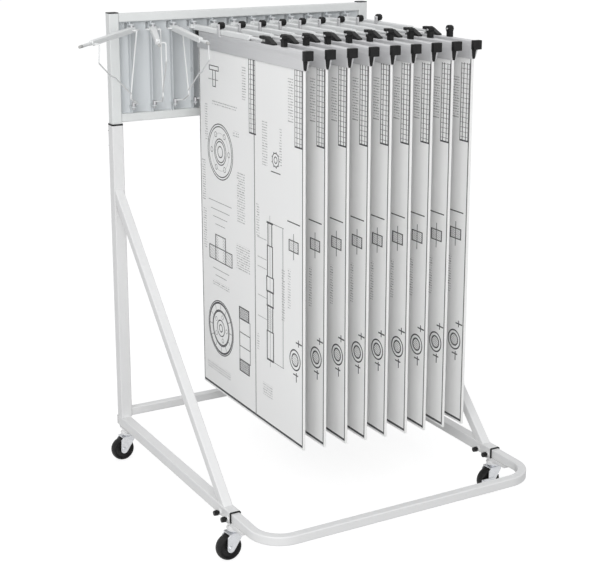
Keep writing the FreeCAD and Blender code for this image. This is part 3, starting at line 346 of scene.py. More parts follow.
def enamel(name, tone, scuff_tone, gloss=0.38):
    """Baked enamel: orange-peel bump, slow gloss patches, fine scuffs and rubbed edges."""
    f = Finish(name)
    patches = f.noise(PATCH_SIZE, 2.0)
    scuffs = f.ramp(f.noise(SCUFF_SIZE, 4.0, SCUFF_LENGTH), 0.66, 0.78)
    places = f.ramp(f.noise(SCUFF_AREA, 2.0), 0.5, 0.66)
    scuffs = f.math("MULTIPLY", scuffs, places)
    rubbed = f.both(f.edge_wear(1.2, 0.86, 0.985), f.ramp(f.noise(CHIP_SIZE, 3.0), 0.5, 0.7))
    tired = f.most(scuffs, rubbed)
    base = f.blend(patches, tone, tuple(c * 0.965 for c in tone))
    colour = f.blend(f.math("MULTIPLY", tired, 0.45), base, scuff_tone)
    rough = f.math("ADD", f.ramp(patches, 0.3, 0.7, gloss - 0.05, gloss + 0.06),
                   f.math("MULTIPLY", tired, 0.2))
    skin = f.bump(f.noise(PEEL_SIZE, 2.0), PEEL_DEPTH, f.soft_edges(TUBE_EDGE))
    return f.finish(colour, rough, 0.0, skin)


frame_enamel = enamel("frame_enamel", (0.77, 0.77, 0.77), (0.54, 0.54, 0.53))
wear(["left_upright", "right_upright", "left_rail", "right_rail", "left_brace", "right_brace",
      "rear_cross_tube", "front_u_tube"], frame_enamel)
rack_enamel = enamel("rack_enamel", (0.73, 0.745, 0.74), (0.52, 0.52, 0.51))
wear(["rack_side_tubes", "rack_top_rail", "rack_bottom_rail"], rack_enamel)
panel_enamel = enamel("panel_enamel", (0.60, 0.625, 0.64), (0.44, 0.45, 0.46), 0.32)
wear(["rack_back_panel"], panel_enamel)

# %% [markdown]
# ## Black plastic and rubber
# Caps, collars, knobs and latches are one kind of moulded black plastic. What tells it
# from a black hole is a fine grain, edges that catch a thin line of light, and dust in
# slow patches. The wheels are the same black, but duller, coarser and dustier, because
# they roll over gritty floors.

# %% Plastic and rubber
DUST_SIZE, DUST_TONE = 14, (0.32, 0.31, 0.30)


def black_plastic(name, tone=0.007, gloss=0.45, grain=0.05, dust=0.03):
    """Moulded plastic: fine grain, soft edges and a breath of dust in patches."""
    f = Finish(name)
    dusty = f.ramp(f.noise(DUST_SIZE, 4.0), 0.45, 0.75)
    colour = f.blend(f.math("MULTIPLY", dusty, dust), (tone, tone, tone * 1.04), DUST_TONE)
    rough = f.ramp(dusty, 0.0, 1.0, gloss, gloss + 0.18)
    return f.finish(colour, rough, 0.0, f.bump(f.noise(0.5, 2.0), grain, f.soft_edges(0.5)),
                    Specular_IOR_Level=0.22)


wear(["tube_collars", "tube_end_caps"], black_plastic("moulded_black"))
wear([n for n in nodes if "_screw_" in n], black_plastic("screw_black", 0.006, 0.4))
wear([n for n in nodes if n.endswith("_wheel")], black_plastic("wheel_black", 0.008, 0.5, 0.1, 0.06))

# %% [markdown]
# ## Zinc on the caster forks
# Pressed forks are zinc plated after pressing. The plating is bright but cloudy: small
# crystals make the gloss change from spot to spot, and handling leaves darker specks.

# %% Zinc


def zinc(name):
    """Cloudy bright plating with small crystals and darker specks."""
    f = Finish(name)
    cloud = f.noise(7, 4.0)
    speck = f.ramp(f.noise(1.2, 2.0), 0.62, 0.72)
    colour = f.blend(cloud, (0.74, 0.75, 0.77), (0.56, 0.57, 0.59))
    colour = f.blend(f.math("MULTIPLY", speck, 0.35), colour, (0.35, 0.35, 0.36))
    rough = f.ramp(cloud, 0.3, 0.7, 0.24, 0.42)
    return f.finish(colour, rough, 0.8, f.bump(f.noise(2.2, 2.0), 0.03, f.soft_edges(0.5)))


wear([n for n in nodes if n.endswith("_fork")], zinc("fork_zinc"))

# %% [markdown]
# ## Hangers: enamel with a grey rubber tip
# A hanger is one mesh, but its last few millimetres are a rubber sleeve. The sleeve lies
# at a known distance from the pivot, so each hanger's finish measures the distance from
# its own pivot and turns grey beyond it. The pins in the hub stay bare steel.

# %% Hangers
TIP_START, PIN_RADIUS = 0.3529, 0.0052
PIN_BELOW, PIN_ABOVE = 0.3, 0.1


def hanger_finish(name, pivot):
    """Light enamel, rubber beyond the tip's start and bare steel on the pivot's pin."""
    f = Finish(name)
    x, y, z = f.axes(f.place)
    out_x = f.math("SUBTRACT", x, float(pivot[0]))
    out_y = f.math("SUBTRACT", y, float(pivot[1]))
    reach = f.length(out_x, out_y)
    tip = f.math("GREATER_THAN", reach, TIP_START)
    pin = f.both(f.math("LESS_THAN", reach, PIN_RADIUS),
                 f.inside(z, pivot[2] - PIN_BELOW, pivot[2] + PIN_ABOVE))
    shaded = f.noise(30, 2.0)
    scuffs = f.ramp(f.noise(1.6, 4.0), 0.62, 0.74)
    paint = f.blend(shaded, (0.80, 0.81, 0.81), (0.75, 0.76, 0.76))
    paint = f.blend(f.math("MULTIPLY", scuffs, 0.25), paint, (0.40, 0.40, 0.40))
    colour = f.blend(tip, paint, (0.42, 0.42, 0.41))
    colour = f.blend(pin, colour, (0.46, 0.46, 0.47))
    rough = f.ramp(f.most(tip, pin), 0.0, 1.0, 0.36, 0.5)
    return f.finish(colour, rough, f.math("MULTIPLY", pin, 0.9),
                    f.bump(f.noise(PEEL_SIZE, 2.0), PEEL_DEPTH, f.soft_edges(0.4)))


for number, pivot in enumerate(pivots, 1):
    name = "hanger_%02d" % number
    wear([name], hanger_finish(name + "_enamel", pivot))

# %% [markdown]
# ## Hanging clamps
# A clamp is two drawn aluminium jaws with black plastic fittings: a block with a narrow
# foot at the front end, a block over the rear end, a latch that drops over the hanger's
# finger and two ribbed knobs on cross studs, the rear one behind a small upright ear.
# From the left one sees a flat upright jaw with the deeper jaw behind it. The plain
# clamps that came with the rack keep their place for the motion, and these stand in
# front of the eye.
#
# Drawn bar, moulded blocks and studs have one thing in common: an outline that travels
# along a line. So one function, `sleeve`, joins a row of outlines to a closed skin, and
# each piece says only what its outline is and how it changes on the way. Four rings at
# each end, the outer ones a little smaller, give an edge its moulded roundness.

# %% Outlines that travel


def mesh_object(name, points, faces):
    """Object from an array of points in metres and the corner numbers of its faces."""
    mesh = bpy.data.meshes.new(name)
    mesh.from_pydata(points.tolist(), [], faces if isinstance(faces, list) else faces.tolist())
    mesh.update()
    piece = bpy.data.objects.new(name, mesh)
    scene.collection.objects.link(piece)
    return piece


def sleeve(rings):
    """Closed skin through rings of equal length, (rings, points, 3), with a flat lid at each end."""
    rings = np.asarray(rings, float)
    spokes = rings[0, 1:] - rings[0, 0]
    facing = np.cross(spokes[:-1], spokes[1:]).sum(0)
    if facing @ (rings[-1].mean(0) - rings[0].mean(0)) < 0:
        rings = rings[:, ::-1]
    count, around = rings.shape[:2]
    corner = np.arange(count * around).reshape(count, around)
    ahead = np.roll(corner, -1, 1)
    sides = np.stack([corner[:-1].ravel(), ahead[:-1].ravel(), ahead[1:].ravel(), corner[1:].ravel()], 1)
    return rings.reshape(-1, 3), sides.tolist() + [corner[0, ::-1].tolist(), corner[-1].tolist()]


def along_arm(outline, stations):
    """Rings of an (x, z) outline at distances out along the arm, each scaled about its middle."""
    outline = np.asarray(outline, float)
    middle = (outline.min(0) + outline.max(0)) / 2
    span = outline.max(0) - outline.min(0)
    rings = []
    for out, inset in stations:
        flat = middle + (outline - middle) * (1 - 2 * inset / span)
        rings.append(np.stack([flat[:, 0], np.full(len(flat), out), flat[:, 1]], 1))
    return rings


def across_arm(outline, stations):
    """Rings of an (out, z) outline at distances across the arm, each scaled about its middle."""
    return [ring[:, [1, 0, 2]] for ring in along_arm(outline, stations)]


def moulded_ends(start, end, edge=0.8):
    """Stations from start to end whose outer rings draw in, as a quarter circle in three steps."""
    turn = np.linspace(0, math.pi / 2, 4)
    near = [(start + edge * (1 - math.cos(t)), edge * (1 - math.sin(t))) for t in turn]
    return near + [(start + end - out, inset) for out, inset in reversed(near)]


def round_box(left, right, low, high, corner, steps=4):
    """Rectangle with round corners: a quarter circle of points round each corner's centre."""
    points = []
    for cx, cz, first in ((right - corner, high - corner, 0), (left + corner, high - corner, 1),
                          (left + corner, low + corner, 2), (right - corner, low + corner, 3)):
        turn = (first + np.linspace(0, 1, steps)) * math.pi / 2
        points += list(zip(cx + corner * np.cos(turn), cz + corner * np.sin(turn)))
    return points


print("moulded ends", len(moulded_ends(0, 10)), "stations")

# %% [markdown]
# Lists of points give the two jaws. The bore of the deep jaw can't be seen past the end
# blocks, so it stays closed. Three fine grooves along the upright face and a bead on the
# gripping edge are what a die leaves on purpose. The jaws meet at a parting line, and
# below their heads they leave room for the sheets.

# %% Jaws
JAW_REAR, JAW_FRONT, JAW_EDGE = 26.0, 535.0, 0.3
JAW_TOP, HEAD_LOW, GRIP_ROUND, GRIP_LOW = -12.0, -19.0, -51.6, -52.0
PARTING, PAPER_SIDE, GRIP_SIDE = 0.15, 2.8, 3.1
GROOVES, GROOVE_MOUTH, GROOVE_FOOT = (-21.0, -23.0, -25.0), 0.55, 0.2
FACE, GROOVE_BED = -5.9, -5.45


def flat_jaw():
    """Left jaw: upright plate with three fine grooves and a thicker head."""
    face = [(-5.3, GRIP_LOW), (-5.7, -50.6), (-5.55, -46.0)]
    for z in reversed(GROOVES):
        face += [(FACE, z - GROOVE_MOUTH), (GROOVE_BED, z - GROOVE_FOOT),
                 (GROOVE_BED, z + GROOVE_FOOT), (FACE, z + GROOVE_MOUTH)]
    return face + [(-6.2, -15.0), (-6.0, -13.2), (-4.6, -12.05), (-PARTING, JAW_TOP), (-PARTING, HEAD_LOW),
                   (-PAPER_SIDE, HEAD_LOW), (-PAPER_SIDE, GRIP_ROUND), (-GRIP_SIDE, GRIP_LOW)]


def deep_jaw():
    """Right jaw: sloping back from the gripping edge to a round shoulder and a flat top."""
    turn = np.linspace(0, math.pi / 2, 6)
    shoulder = list(zip(9.4 + 4.6 * np.cos(turn), -17.0 + 4.95 * np.sin(turn)))
    return [(PARTING, JAW_TOP), (PARTING, HEAD_LOW), (PAPER_SIDE, HEAD_LOW), (PAPER_SIDE, GRIP_ROUND),
            (GRIP_SIDE, GRIP_LOW), (5.2, GRIP_LOW), (5.7, -50.6), (13.6, -26.5), (14.0, -24.0)] + shoulder


print("outline points", len(flat_jaw()), len(deep_jaw()))

# %% [markdown]
# A knob is a row of rings of radius r(t) = R - f/2 (1 - cos 8t), which swings in and out
# eight times round, so that fingers find ribs, and the rings shrink to a domed end. A
# stud is the same thing with a thread, a wave along the length instead of round it.
#
# A block's eight numbers are millimetres from the pivot: left, right, low, high, corner
# radius, then rear end, front end and edge rounding. Along the arm is out, across is x.

# %% Blocks, latch, knobs and studs
FRONT_BLOCK = (-6.7, 14.4, -31.2, -10.6, 1.4, 534.6, 546.6, 1.2)
REAR_BLOCK = (-6.9, 14.3, -32.0, -11.75, 1.4, 18.2, 37.0, 1.2)
KNOB_SEAT = (-0.8, 9.6, -12.2, 1.0, 1.2, 431.6, 444.8, 0.9)
EAR = (-9.4, -7.35, -17.5, 12.2, 0.5, 141.8, 154.2, 0.5)
EAR_PAD = (-7.6, -5.7, -17.5, -12.8, 0.4, 142.2, 153.8, 0.4)
FOOT_ENDS, LATCH_SIDES = (534.8, 539.4, 0.4), (-4.6, 7.0, 0.3)
FRONT_STUD, REAR_STUD = (438.2, 6.2), (148.0, 8.9)
FRONT_STUD_ENDS, REAR_STUD_ENDS = (-5.6, 12.8), (-11.4, 8.2)
FRONT_KNOB_START, REAR_KNOB_START = -2.6, -7.2
KNOB_LENGTH, KNOB_RADIUS, FLUTE = 14.0, 8.4, 0.9
STUD_RADIUS, THREAD_DEPTH = 2.4, 0.12


def block(left, right, low, high, corner, start, end, edge):
    """Block with round corners across the arm and moulded ends along it."""
    return sleeve(along_arm(round_box(left, right, low, high, corner), moulded_ends(start, end, edge)))


def ribbed_ring(radius, flute, ribs=8, points=64):
    """Points (a, b) of the ring r(t) = R - f/2 (1 - cos(ribs t))."""
    turn = np.linspace(0, 2 * math.pi, points, endpoint=False)
    reach = radius - flute / 2 * (1 - np.cos(ribs * turn))
    return np.stack([reach * np.cos(turn), reach * np.sin(turn)], 1)


def knob(out, z, start, length=KNOB_LENGTH, radius=KNOB_RADIUS):
    """Ribbed knob on the cross stud at (out, z), from start across, with a domed and dished end."""
    dome, narrowing, step = 3, 3.2, 0.3
    turn = np.linspace(0, math.pi / 2, 5)
    steps = [(start, radius - 1.0), (start + 0.8, radius)]
    steps += [(start + length - dome + dome * math.sin(t), radius - narrowing * (1 - math.cos(t)) - step)
              for t in turn]
    steps.append((start + length - 0.6, radius * 0.45))
    rings = []
    for x, reach in steps:
        ring = ribbed_ring(reach, FLUTE * reach / radius)
        rings.append(np.stack([np.full(len(ring), x), out + ring[:, 0], z + ring[:, 1]], 1))
    return sleeve(rings)


def stud(out, z, start, end):
    """Threaded cross stud: radius r(x) = R - d + d cos(2 pi x), four rings to each millimetre."""
    stations = np.arange(start, end + 0.01, 0.25)
    turn = np.linspace(0, 2 * math.pi, 16, endpoint=False)
    reach = STUD_RADIUS - THREAD_DEPTH + THREAD_DEPTH * np.cos(2 * math.pi * stations)
    x, t = np.meshgrid(stations, turn, indexing="ij")
    rings = np.stack([x, out + reach[:, None] * np.cos(t), z + reach[:, None] * np.sin(t)], 2)
    return sleeve(rings)


def front_foot():
    """Narrow wedge under the front block, from its underside down to the gripping edge."""
    return [(-5.2, -30.0), (4.4, -30.0), (2.2, -46.0), (0.8, -51.6), (-2.0, -51.6), (-3.4, -46.0)]


def latch_outline():
    """Latch in (out, z): foot on the jaws, slot round the finger, lip above it and a sloping front."""
    return [(350, -12), (402, -12), (404, -10.6), (403, -9), (374, 3.2), (371, 4.2), (343.2, 4.2),
            (342, 3.2), (342, -1.2), (343, -1.95), (369, -1.95), (369, -9.55), (350, -9.55)]


def clamp_pieces():
    """All parts of one clamp about its pivot in mm, as ((points, faces), finish number)."""
    aluminium, black, steel = 0, 1, 2
    jaw_ends = moulded_ends(JAW_REAR, JAW_FRONT, JAW_EDGE)
    return [(sleeve(along_arm(flat_jaw(), jaw_ends)), aluminium),
            (sleeve(along_arm(deep_jaw(), jaw_ends)), aluminium),
            (block(*FRONT_BLOCK), black),
            (sleeve(along_arm(front_foot(), moulded_ends(*FOOT_ENDS))), black),
            (block(*REAR_BLOCK), black),
            (block(*KNOB_SEAT), black),
            (block(*EAR), aluminium),
            (block(*EAR_PAD), aluminium),
            (sleeve(across_arm(latch_outline(), moulded_ends(*LATCH_SIDES))), black),
            (knob(*FRONT_STUD, FRONT_KNOB_START), black),
            (knob(*REAR_STUD, REAR_KNOB_START), black),
            (stud(*FRONT_STUD, *FRONT_STUD_ENDS), steel),
            (stud(*REAR_STUD, *REAR_STUD_ENDS), steel)]


def join(parts):
    """One mesh of many parts: points in metres, faces turned over for the mirrored y, finishes."""
    points, faces, finishes = [], [], []
    shift = 0
    for (part_points, part_faces), finish in parts:
        points.append(part_points)
        faces += [[corner + shift for corner in face[::-1]] for face in part_faces]
        finishes += [finish] * len(part_faces)
        shift += len(part_points)
    return np.concatenate(points) / 1000, faces, np.array(finishes, np.int32)


print("clamp of", len(clamp_pieces()), "parts")

# %% [markdown]
# The jaws' finish is fine lines from the die, noise drawn out a hundred times longer
# than it is wide, and they steer both colour and gloss. Black and steel are the finishes
# of the blocks, latch and knobs, and of the studs.

# %% Finish and place the clamps


def drawn_aluminium(name):
    """Drawn aluminium: die lines along the arm and slow clouds."""
    f = Finish(name)
    lines = f.noise(0.7, 3.0, (1, 100, 1))
    slow = f.noise(60, 2.0)
    metal = f.blend(lines, (0.70, 0.70, 0.71), (0.62, 0.62, 0.63))
    metal = f.blend(f.math("MULTIPLY", slow, 0.3), metal, (0.55, 0.55, 0.56))
    gloss = f.ramp(lines, 0.3, 0.7, 0.38, 0.5)
    return f.finish(metal, gloss, 0.35, f.bump(lines, 0.02, f.soft_edges(0.3)))


def turned_steel(name):
    """Plated stud steel with tool lines round it."""
    f = Finish(name)
    lines = f.noise(0.6, 2.0, (0.4, 4, 4))
    metal = f.blend(lines, (0.66, 0.66, 0.67), (0.5, 0.5, 0.51))
    return f.finish(metal, 0.32, 0.85, f.bump(lines, 0.02))


def smooth(piece, crease):
    """Shade a piece smoothly, but keep creases sharper than an angle in degrees."""
    piece.data.shade_smooth()
    piece.data.set_sharp_from_angle(angle=math.radians(crease))


EMPTY_HANGERS, CLAMPS = 3, 9
clamp_finishes = [drawn_aluminium("drawn_aluminium"), black_plastic("clamp_black"),
                  turned_steel("stud_steel")]
local, faces, finishes = join(clamp_pieces())
for number in range(1, CLAMPS + 1):
    pivot = pivots[EMPTY_HANGERS + number - 1]
    placed = np.stack([pivot[0] + local[:, 0], pivot[1] - local[:, 1], pivot[2] + local[:, 2]], 1)
    clamp = mesh_object("hanging_clamp_%d" % number, placed, faces)
    for material in clamp_finishes:
        clamp.data.materials.append(material)
    clamp.data.polygons.foreach_set("material_index", finishes)
    smooth(clamp, 32)
    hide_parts("clamp_%d" % number)
    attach(clamp, "clamp_%d_set" % number)
print("clamps of", len(clamp.data.polygons), "faces")

# %% [markdown]
# ## The strip behind the slots
# The back panel has a slot beside each rib. A folded strip behind them keeps daylight
# out, so that they read as dark marks. It is a channel drawn along a line, from tube to
# tube, just behind the panel's troughs and inside the depth of the tubes.

# %% Strip behind the slots
STRIP_TALL, STRIP_SHEET = 0.030, 0.0012
BEHIND_PANEL, INSIDE_TUBES, UNDER_RAIL, END_GAP = 0.0002, 0.001, 0.0004, 0.0005
panel_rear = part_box("rack_back_panel")[1][1]
tubes_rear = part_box("rack_side_tubes")[1][1]
rail_low, rail_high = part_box("rack_top_rail")


def channel(depth_low, depth_high, low, high, sheet):
    """Outline (y, z) of a channel open to the rear: a web in front and a flange above and below."""
    return np.array([(depth_low, low), (depth_high, low), (depth_high, low + sheet),
                     (depth_low + sheet, low + sheet), (depth_low + sheet, high - sheet),
                     (depth_high, high - sheet), (depth_high, high), (depth_low, high)])


outline = channel(panel_rear + BEHIND_PANEL, tubes_rear - INSIDE_TUBES,
                  rail_low[2] - STRIP_TALL, rail_low[2] - UNDER_RAIL, STRIP_SHEET)
ends = np.array([rail_low[0] + END_GAP, rail_high[0] - END_GAP])
rings = np.stack([np.column_stack([np.full(len(outline), x), outline]) for x in ends])
strip = mesh_object("panel_strip", *sleeve(rings))
strip.data.materials.append(panel_enamel)
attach(strip, "rack")
print("strip", [round(v * 1000, 1) for v in (outline.max(0) - outline.min(0))], "mm")

# %% [markdown]
# ## Bundles of plans
# Each clamp holds a stack of drawings some five millimetres thick. Flat boxes would look
# like boards, so every stack is woven here as a fine grid that sways by about a
# millimetre towards its free lower end, a little differently each time. Its rim is not flat
# either: the edges of the leaves stand back and forth by half a millimetre, in loops of
# points between the front and the back face, and catch light as the edge of a real
# stack does.
#
# Every point also keeps its place on the sheet: millimetres from the rear edge,
# millimetres from the top, and which face it is on. The drawing is printed by that
# place, so it stays on the paper however the stack sways.

# %% Weave the stacks
LEAF_EDGES = np.array([0.5, 0.1, 0.6, 0.0, 0.5, 0.15, 0.55])
SWAY_MM, SWAY_STEP = 1.3, 1.9
ROWS, COLUMNS = 67, 45


def grid_quads(rows, columns, flip):
    """Corner numbers of the faces of a rows by columns grid of points."""
    corner = np.arange(rows * columns).reshape(rows, columns)
    around = [corner[:-1, :-1], corner[:-1, 1:], corner[1:, 1:], corner[1:, :-1]]
    if flip:
        around = around[::-1]
    return np.stack([c.ravel() for c in around], 1)


def rim_order(rows, columns):
    """Numbers of a grid's border points, once round: top, front, bottom, rear."""
    corner = np.arange(rows * columns).reshape(rows, columns)
    return np.concatenate([corner[0, :-1], corner[:-1, -1], corner[-1, :0:-1], corner[:0:-1, 0]])


def sway(u, v, phase):
    """Sideways drift, s(u, v) = S v^1.5 (0.6 sin(2.3u + p) + 0.4 sin(5.1u - 1.7v + 2p)), in mm."""
    wave = 0.6 * np.sin(2.3 * u + phase) + 0.4 * np.sin(5.1 * u - 1.7 * v + 2 * phase)
    return SWAY_MM * v ** 1.5 * wave


def paper_stack(name, low, high, phase):
    """Closed stack of sheets in the box from low to high, hanging from its top edge."""
    v, u = np.meshgrid(np.linspace(0, 1, ROWS), np.linspace(0, 1, COLUMNS), indexing="ij")
    u, v = u.ravel(), v.ravel()
    size = (np.array(high) - np.array(low)) * 1000
    middle = (low[0] + high[0]) / 2
    border = rim_order(ROWS, COLUMNS)
    points, places = [], []
    layers = len(LEAF_EDGES)
    for layer, edge in enumerate(LEAF_EDGES):
        pick = slice(None) if layer in (0, layers - 1) else border
        a, b = u[pick], v[pick]
        inset = edge / size[1:]
        ya = inset[0] + a * (1 - 2 * inset[0])
        zb = b * (1 - inset[1])
        side = 1 - 2 * layer / (layers - 1)
        x = middle + (sway(a, b, phase) - side * size[0] / 2) / 1000
        points.append(np.stack([x, high[1] - ya * size[1] / 1000, high[2] - zb * size[2] / 1000], 1))
        places.append(np.stack([ya * size[1], zb * size[2], np.full(len(a), side)], 1))
    count = ROWS * COLUMNS
    loop = len(border)
    loops = [border] + [count + np.arange(loop) + loop * k for k in range(layers - 2)]
    back = count + loop * (layers - 2)
    loops.append(back + border)
    quads = [grid_quads(ROWS, COLUMNS, True), grid_quads(ROWS, COLUMNS, False) + back]
    for near, far in zip(loops, loops[1:]):
        quads.append(np.stack([near, np.roll(near, -1), np.roll(far, -1), far], 1))
    piece = mesh_object(name, np.concatenate(points), np.concatenate(quads))
    place = piece.data.attributes.new("sheet_place", "FLOAT_VECTOR", "POINT")
    place.data.foreach_set("vector", np.concatenate(places).astype(np.float32).ravel())
    smooth(piece, 35)
    return piece


stacks = []
for number in range(1, CLAMPS + 1):
    node = "sheets_%d" % number
    low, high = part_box(node)
    stack = paper_stack("plan_stack_%d" % number, low, high, SWAY_STEP * number)
    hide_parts(node)
    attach(stack, "clamp_%d_set" % number)
    stacks.append(stack)
print(len(stacks), "stacks of", len(stacks[0].data.vertices), "points")

# %% [markdown]
# ## The drawing
# The plans are drawings of machine parts: wheels with rims and bolt holes, a long stepped
# shaft, sections with hatching, rows of a parts list and blocks of notes. Line work this
# fine asks for no picture. Every line is a question about distance: a point is ink if its
# distance from a circle, or from a straight stroke, is less than half the pen's width.
# `Drawing` adds those questions to the material language. All sizes are in millimetres
# on the sheet.

# %% Pen strokes
UPRIGHT_PEN, LEVEL_PEN, ROUND_PEN = 2.3, 1.5, 1.5
LETTER_SCALE, LETTER_SHARE, ROW_SHARE = 0.55, 0.48, 0.42


class Drawing(Finish):
    """A finish that can draw with a pen on the sheet, in millimetres from its rear top corner."""

    def __init__(self, name):
        super().__init__(name)
        attribute = self.tree.nodes.new("ShaderNodeAttribute")
        attribute.attribute_name = "sheet_place"
        self.spot = attribute.outputs["Vector"]
        self.along, self.down, self.face = self.axes(self.spot)
        self.ink = None

    def draw(self, mask, strength=1.0):
        """Add a mask to the drawing."""
        if strength < 1:
            mask = self.math("MULTIPLY", mask, strength)
        self.ink = mask if self.ink is None else self.math("MAXIMUM", self.ink, mask)

    def patch(self, left, top, right, bottom):
        """Mask of an upright rectangle."""
        return self.both(self.inside(self.along, left, right), self.inside(self.down, top, bottom))

    def frame_line(self, left, top, right, bottom, pen=1.2):
        """Mask of a rectangle's outline, with broader uprights than level lines."""
        side, level = pen * UPRIGHT_PEN, pen * LEVEL_PEN
        outer = self.patch(left - side / 2, top - level / 2, right + side / 2, bottom + level / 2)
        inner = self.patch(left + side / 2, top + level / 2, right - side / 2, bottom - level / 2)
        return self.math("SUBTRACT", outer, inner, clamp=True)

    def from_point(self, x, y):
        """Distance from a point, and the angle round it in radians."""
        dx = self.math("SUBTRACT", self.along, x)
        dy = self.math("SUBTRACT", self.down, y)
        return self.length(dx, dy), self.math("ARCTAN2", dy, dx)

    def rings(self, far, radii, pen=1.2):
        """Circles of several radii round one point."""
        half = pen * ROUND_PEN / 2
        return self.most(*[self.inside(far, r - half, r + half) for r in radii])

    def holes(self, far, angle, count, at, radius, pen=1.2):
        """A circle of holes: one hole repeated round the point."""
        part = 2 * math.pi / count
        turn = self.math("WRAP", angle, part / 2, -part / 2)
        side = self.math("MULTIPLY", turn, at)
        out = self.math("SUBTRACT", far, at)
        return self.inside(self.length(side, out), radius - pen / 2, radius + pen / 2)

    def spokes(self, far, angle, count, start, end, pen=1.4):
        """Straight spokes between two radii."""
        part = 2 * math.pi / count
        turn = self.math("WRAP", angle, part / 2, -part / 2)
        side = self.math("MULTIPLY", turn, far)
        return self.both(self.inside(side, -pen / 2, pen / 2), self.inside(far, start, end))

    def hatching(self, area, step=4.0, pen=1.0):
        """Slanting section lines inside an area."""
        slope = self.math("ADD", self.along, self.down)
        line = self.math("LESS_THAN", self.math("MODULO", slope, step), pen)
        return self.both(area, line)

    def notes(self, left, top, right, bottom, row=6.0):
        """A block of writing too small to read: rows of short dashes."""
        fine = self.tree.nodes.new("ShaderNodeTexNoise")
        stretch = self.tree.nodes.new("ShaderNodeMapping")
        stretch.inputs["Scale"].default_value = (1.0, 1.0 / row, 0.0)
        self.feed(stretch.inputs["Vector"], self.spot)
        self.feed(fine.inputs["Vector"], stretch.outputs[0])
        fine.inputs["Scale"].default_value = LETTER_SCALE
        fine.inputs["Detail"].default_value = 2.0
        dashes = self.math("GREATER_THAN", fine.outputs[0], LETTER_SHARE)
        rows = self.math("LESS_THAN", self.math("MODULO", self.down, row), row * ROW_SHARE)
        return self.both(self.patch(left, top, right, bottom), dashes, rows)

    def stroke(self, left, right, at, pen=1.2):
        """Level line."""
        half = pen * LEVEL_PEN / 2
        return self.patch(left, at - half, right, at + half)

    def drop(self, top, bottom, at, pen=1.2):
        """Upright line."""
        half = pen * UPRIGHT_PEN / 2
        return self.patch(at - half, top, at + half, bottom)

    def parts_list(self, left, right, top, bottom, row=11.0):
        """Ruled columns with a heavy foot, as beside a drawing's title."""
        width = right - left
        area = self.patch(left, top, right, bottom)
        columns = [left + width * share for share in (0, 0.3, 0.72, 1)]
        uprights = self.most(*[self.drop(top, bottom, at, 1.0) for at in columns])
        rules = self.both(area, self.math("LESS_THAN", self.math("MODULO", self.down, row), 0.9))
        return self.most(uprights, rules, self.stroke(left - 1, right + 3, bottom, 2.4))


# %% [markdown]
# ## Composing the sheet
# The left half shows two wheels with a section between them and a second one at the
# side. The right half shows the shaft with its stations, and smaller views by the edge.

# %% Draw the sheet
BORDER_LEFT, BORDER_TOP, BORDER_RIGHT, BORDER_FOOT = 3.5, 6.0, 503.0, 866.0
FOLD = 284.0
PARTS_LISTS = ((260, 290, 20, 198), (470, 500, 20, 196))
WHEEL_SPOT, WHEEL_RINGS, BOLT_RING = (110.0, 268.0), (66, 60, 31, 25, 13), 45
FLANGE_SPOT, FLANGE_RINGS, FLANGE_BOLTS = (100.0, 706.0), (68, 64, 62, 45, 42, 20, 9), 31
HUB_WEB, HUB_NECK, HUB_BORE = (44, 505, 166, 538), (78, 474, 132, 505), (93, 474, 117, 538)
HUB_BODY = (78, 474, 132, 538)
HUB_MIDDLE, HUB_LINES = 105, ((392, 62), (412, 50), (430, 38), (448, 26), (560, 44), (576, 30))
RIM_LEFT, RIM_RIGHT, RIM_LIP, RIM_CUTS = 202, 250, 256, ((622, 650), (752, 780))
SHAFT_AXIS, SHAFT_TOP, SHAFT_FOOT = 356.0, 386, 708
SHAFT_STEPS = ((386, 440, 9), (440, 512, 12), (512, 546, 16),
               (546, 580, 14), (580, 640, 12), (640, 708, 15))
SHAFT_COLLARS, SHAFT_LEADERS = (546, 580), (430, 476, 498, 566, 616)
LEADER_START, MEASURE_AT = 296, 416
TEE_HEAD, TEE_STEM = (58, 68, 106, 78), (76, 78, 90, 116)
GEAR_SPOT, BOSS_SPOT, KEY = (384.0, 240.0), (470.0, 672.0), (444, 404, 484, 428)
NOTES_BLOCKS = ((226, 52, 246, 128), (70, 148, 200, 162), (178, 206, 208, 222), (10, 300, 28, 400),
                (196, 300, 236, 420), (190, 470, 258, 534), (60, 590, 150, 602), (440, 54, 464, 150),
                (322, 160, 346, 260), (402, 168, 412, 250), (292, 354, 306, 430), (438, 470, 450, 560),
                (410, 480, 424, 600), (30, 160, 44, 250), (14, 420, 30, 520), (20, 806, 150, 826),
                (320, 770, 366, 800), (292, 660, 302, 700))


def draw_wheels(d):
    """Two round views: a wheel with bolt holes and a flange with spokes."""
    far, angle = d.from_point(*WHEEL_SPOT)
    d.draw(d.rings(far, WHEEL_RINGS, 1.7))
    d.draw(d.holes(far, angle, 6, BOLT_RING, 6, 1.4))
    d.draw(d.rings(far, (BOLT_RING,), 0.7), 0.5)
    far, angle = d.from_point(*FLANGE_SPOT)
    d.draw(d.rings(far, FLANGE_RINGS, 1.8))
    d.draw(d.spokes(far, angle, 12, 46, 60, 1.6), 0.8)
    d.draw(d.holes(far, angle, 5, FLANGE_BOLTS, 5, 1.2))


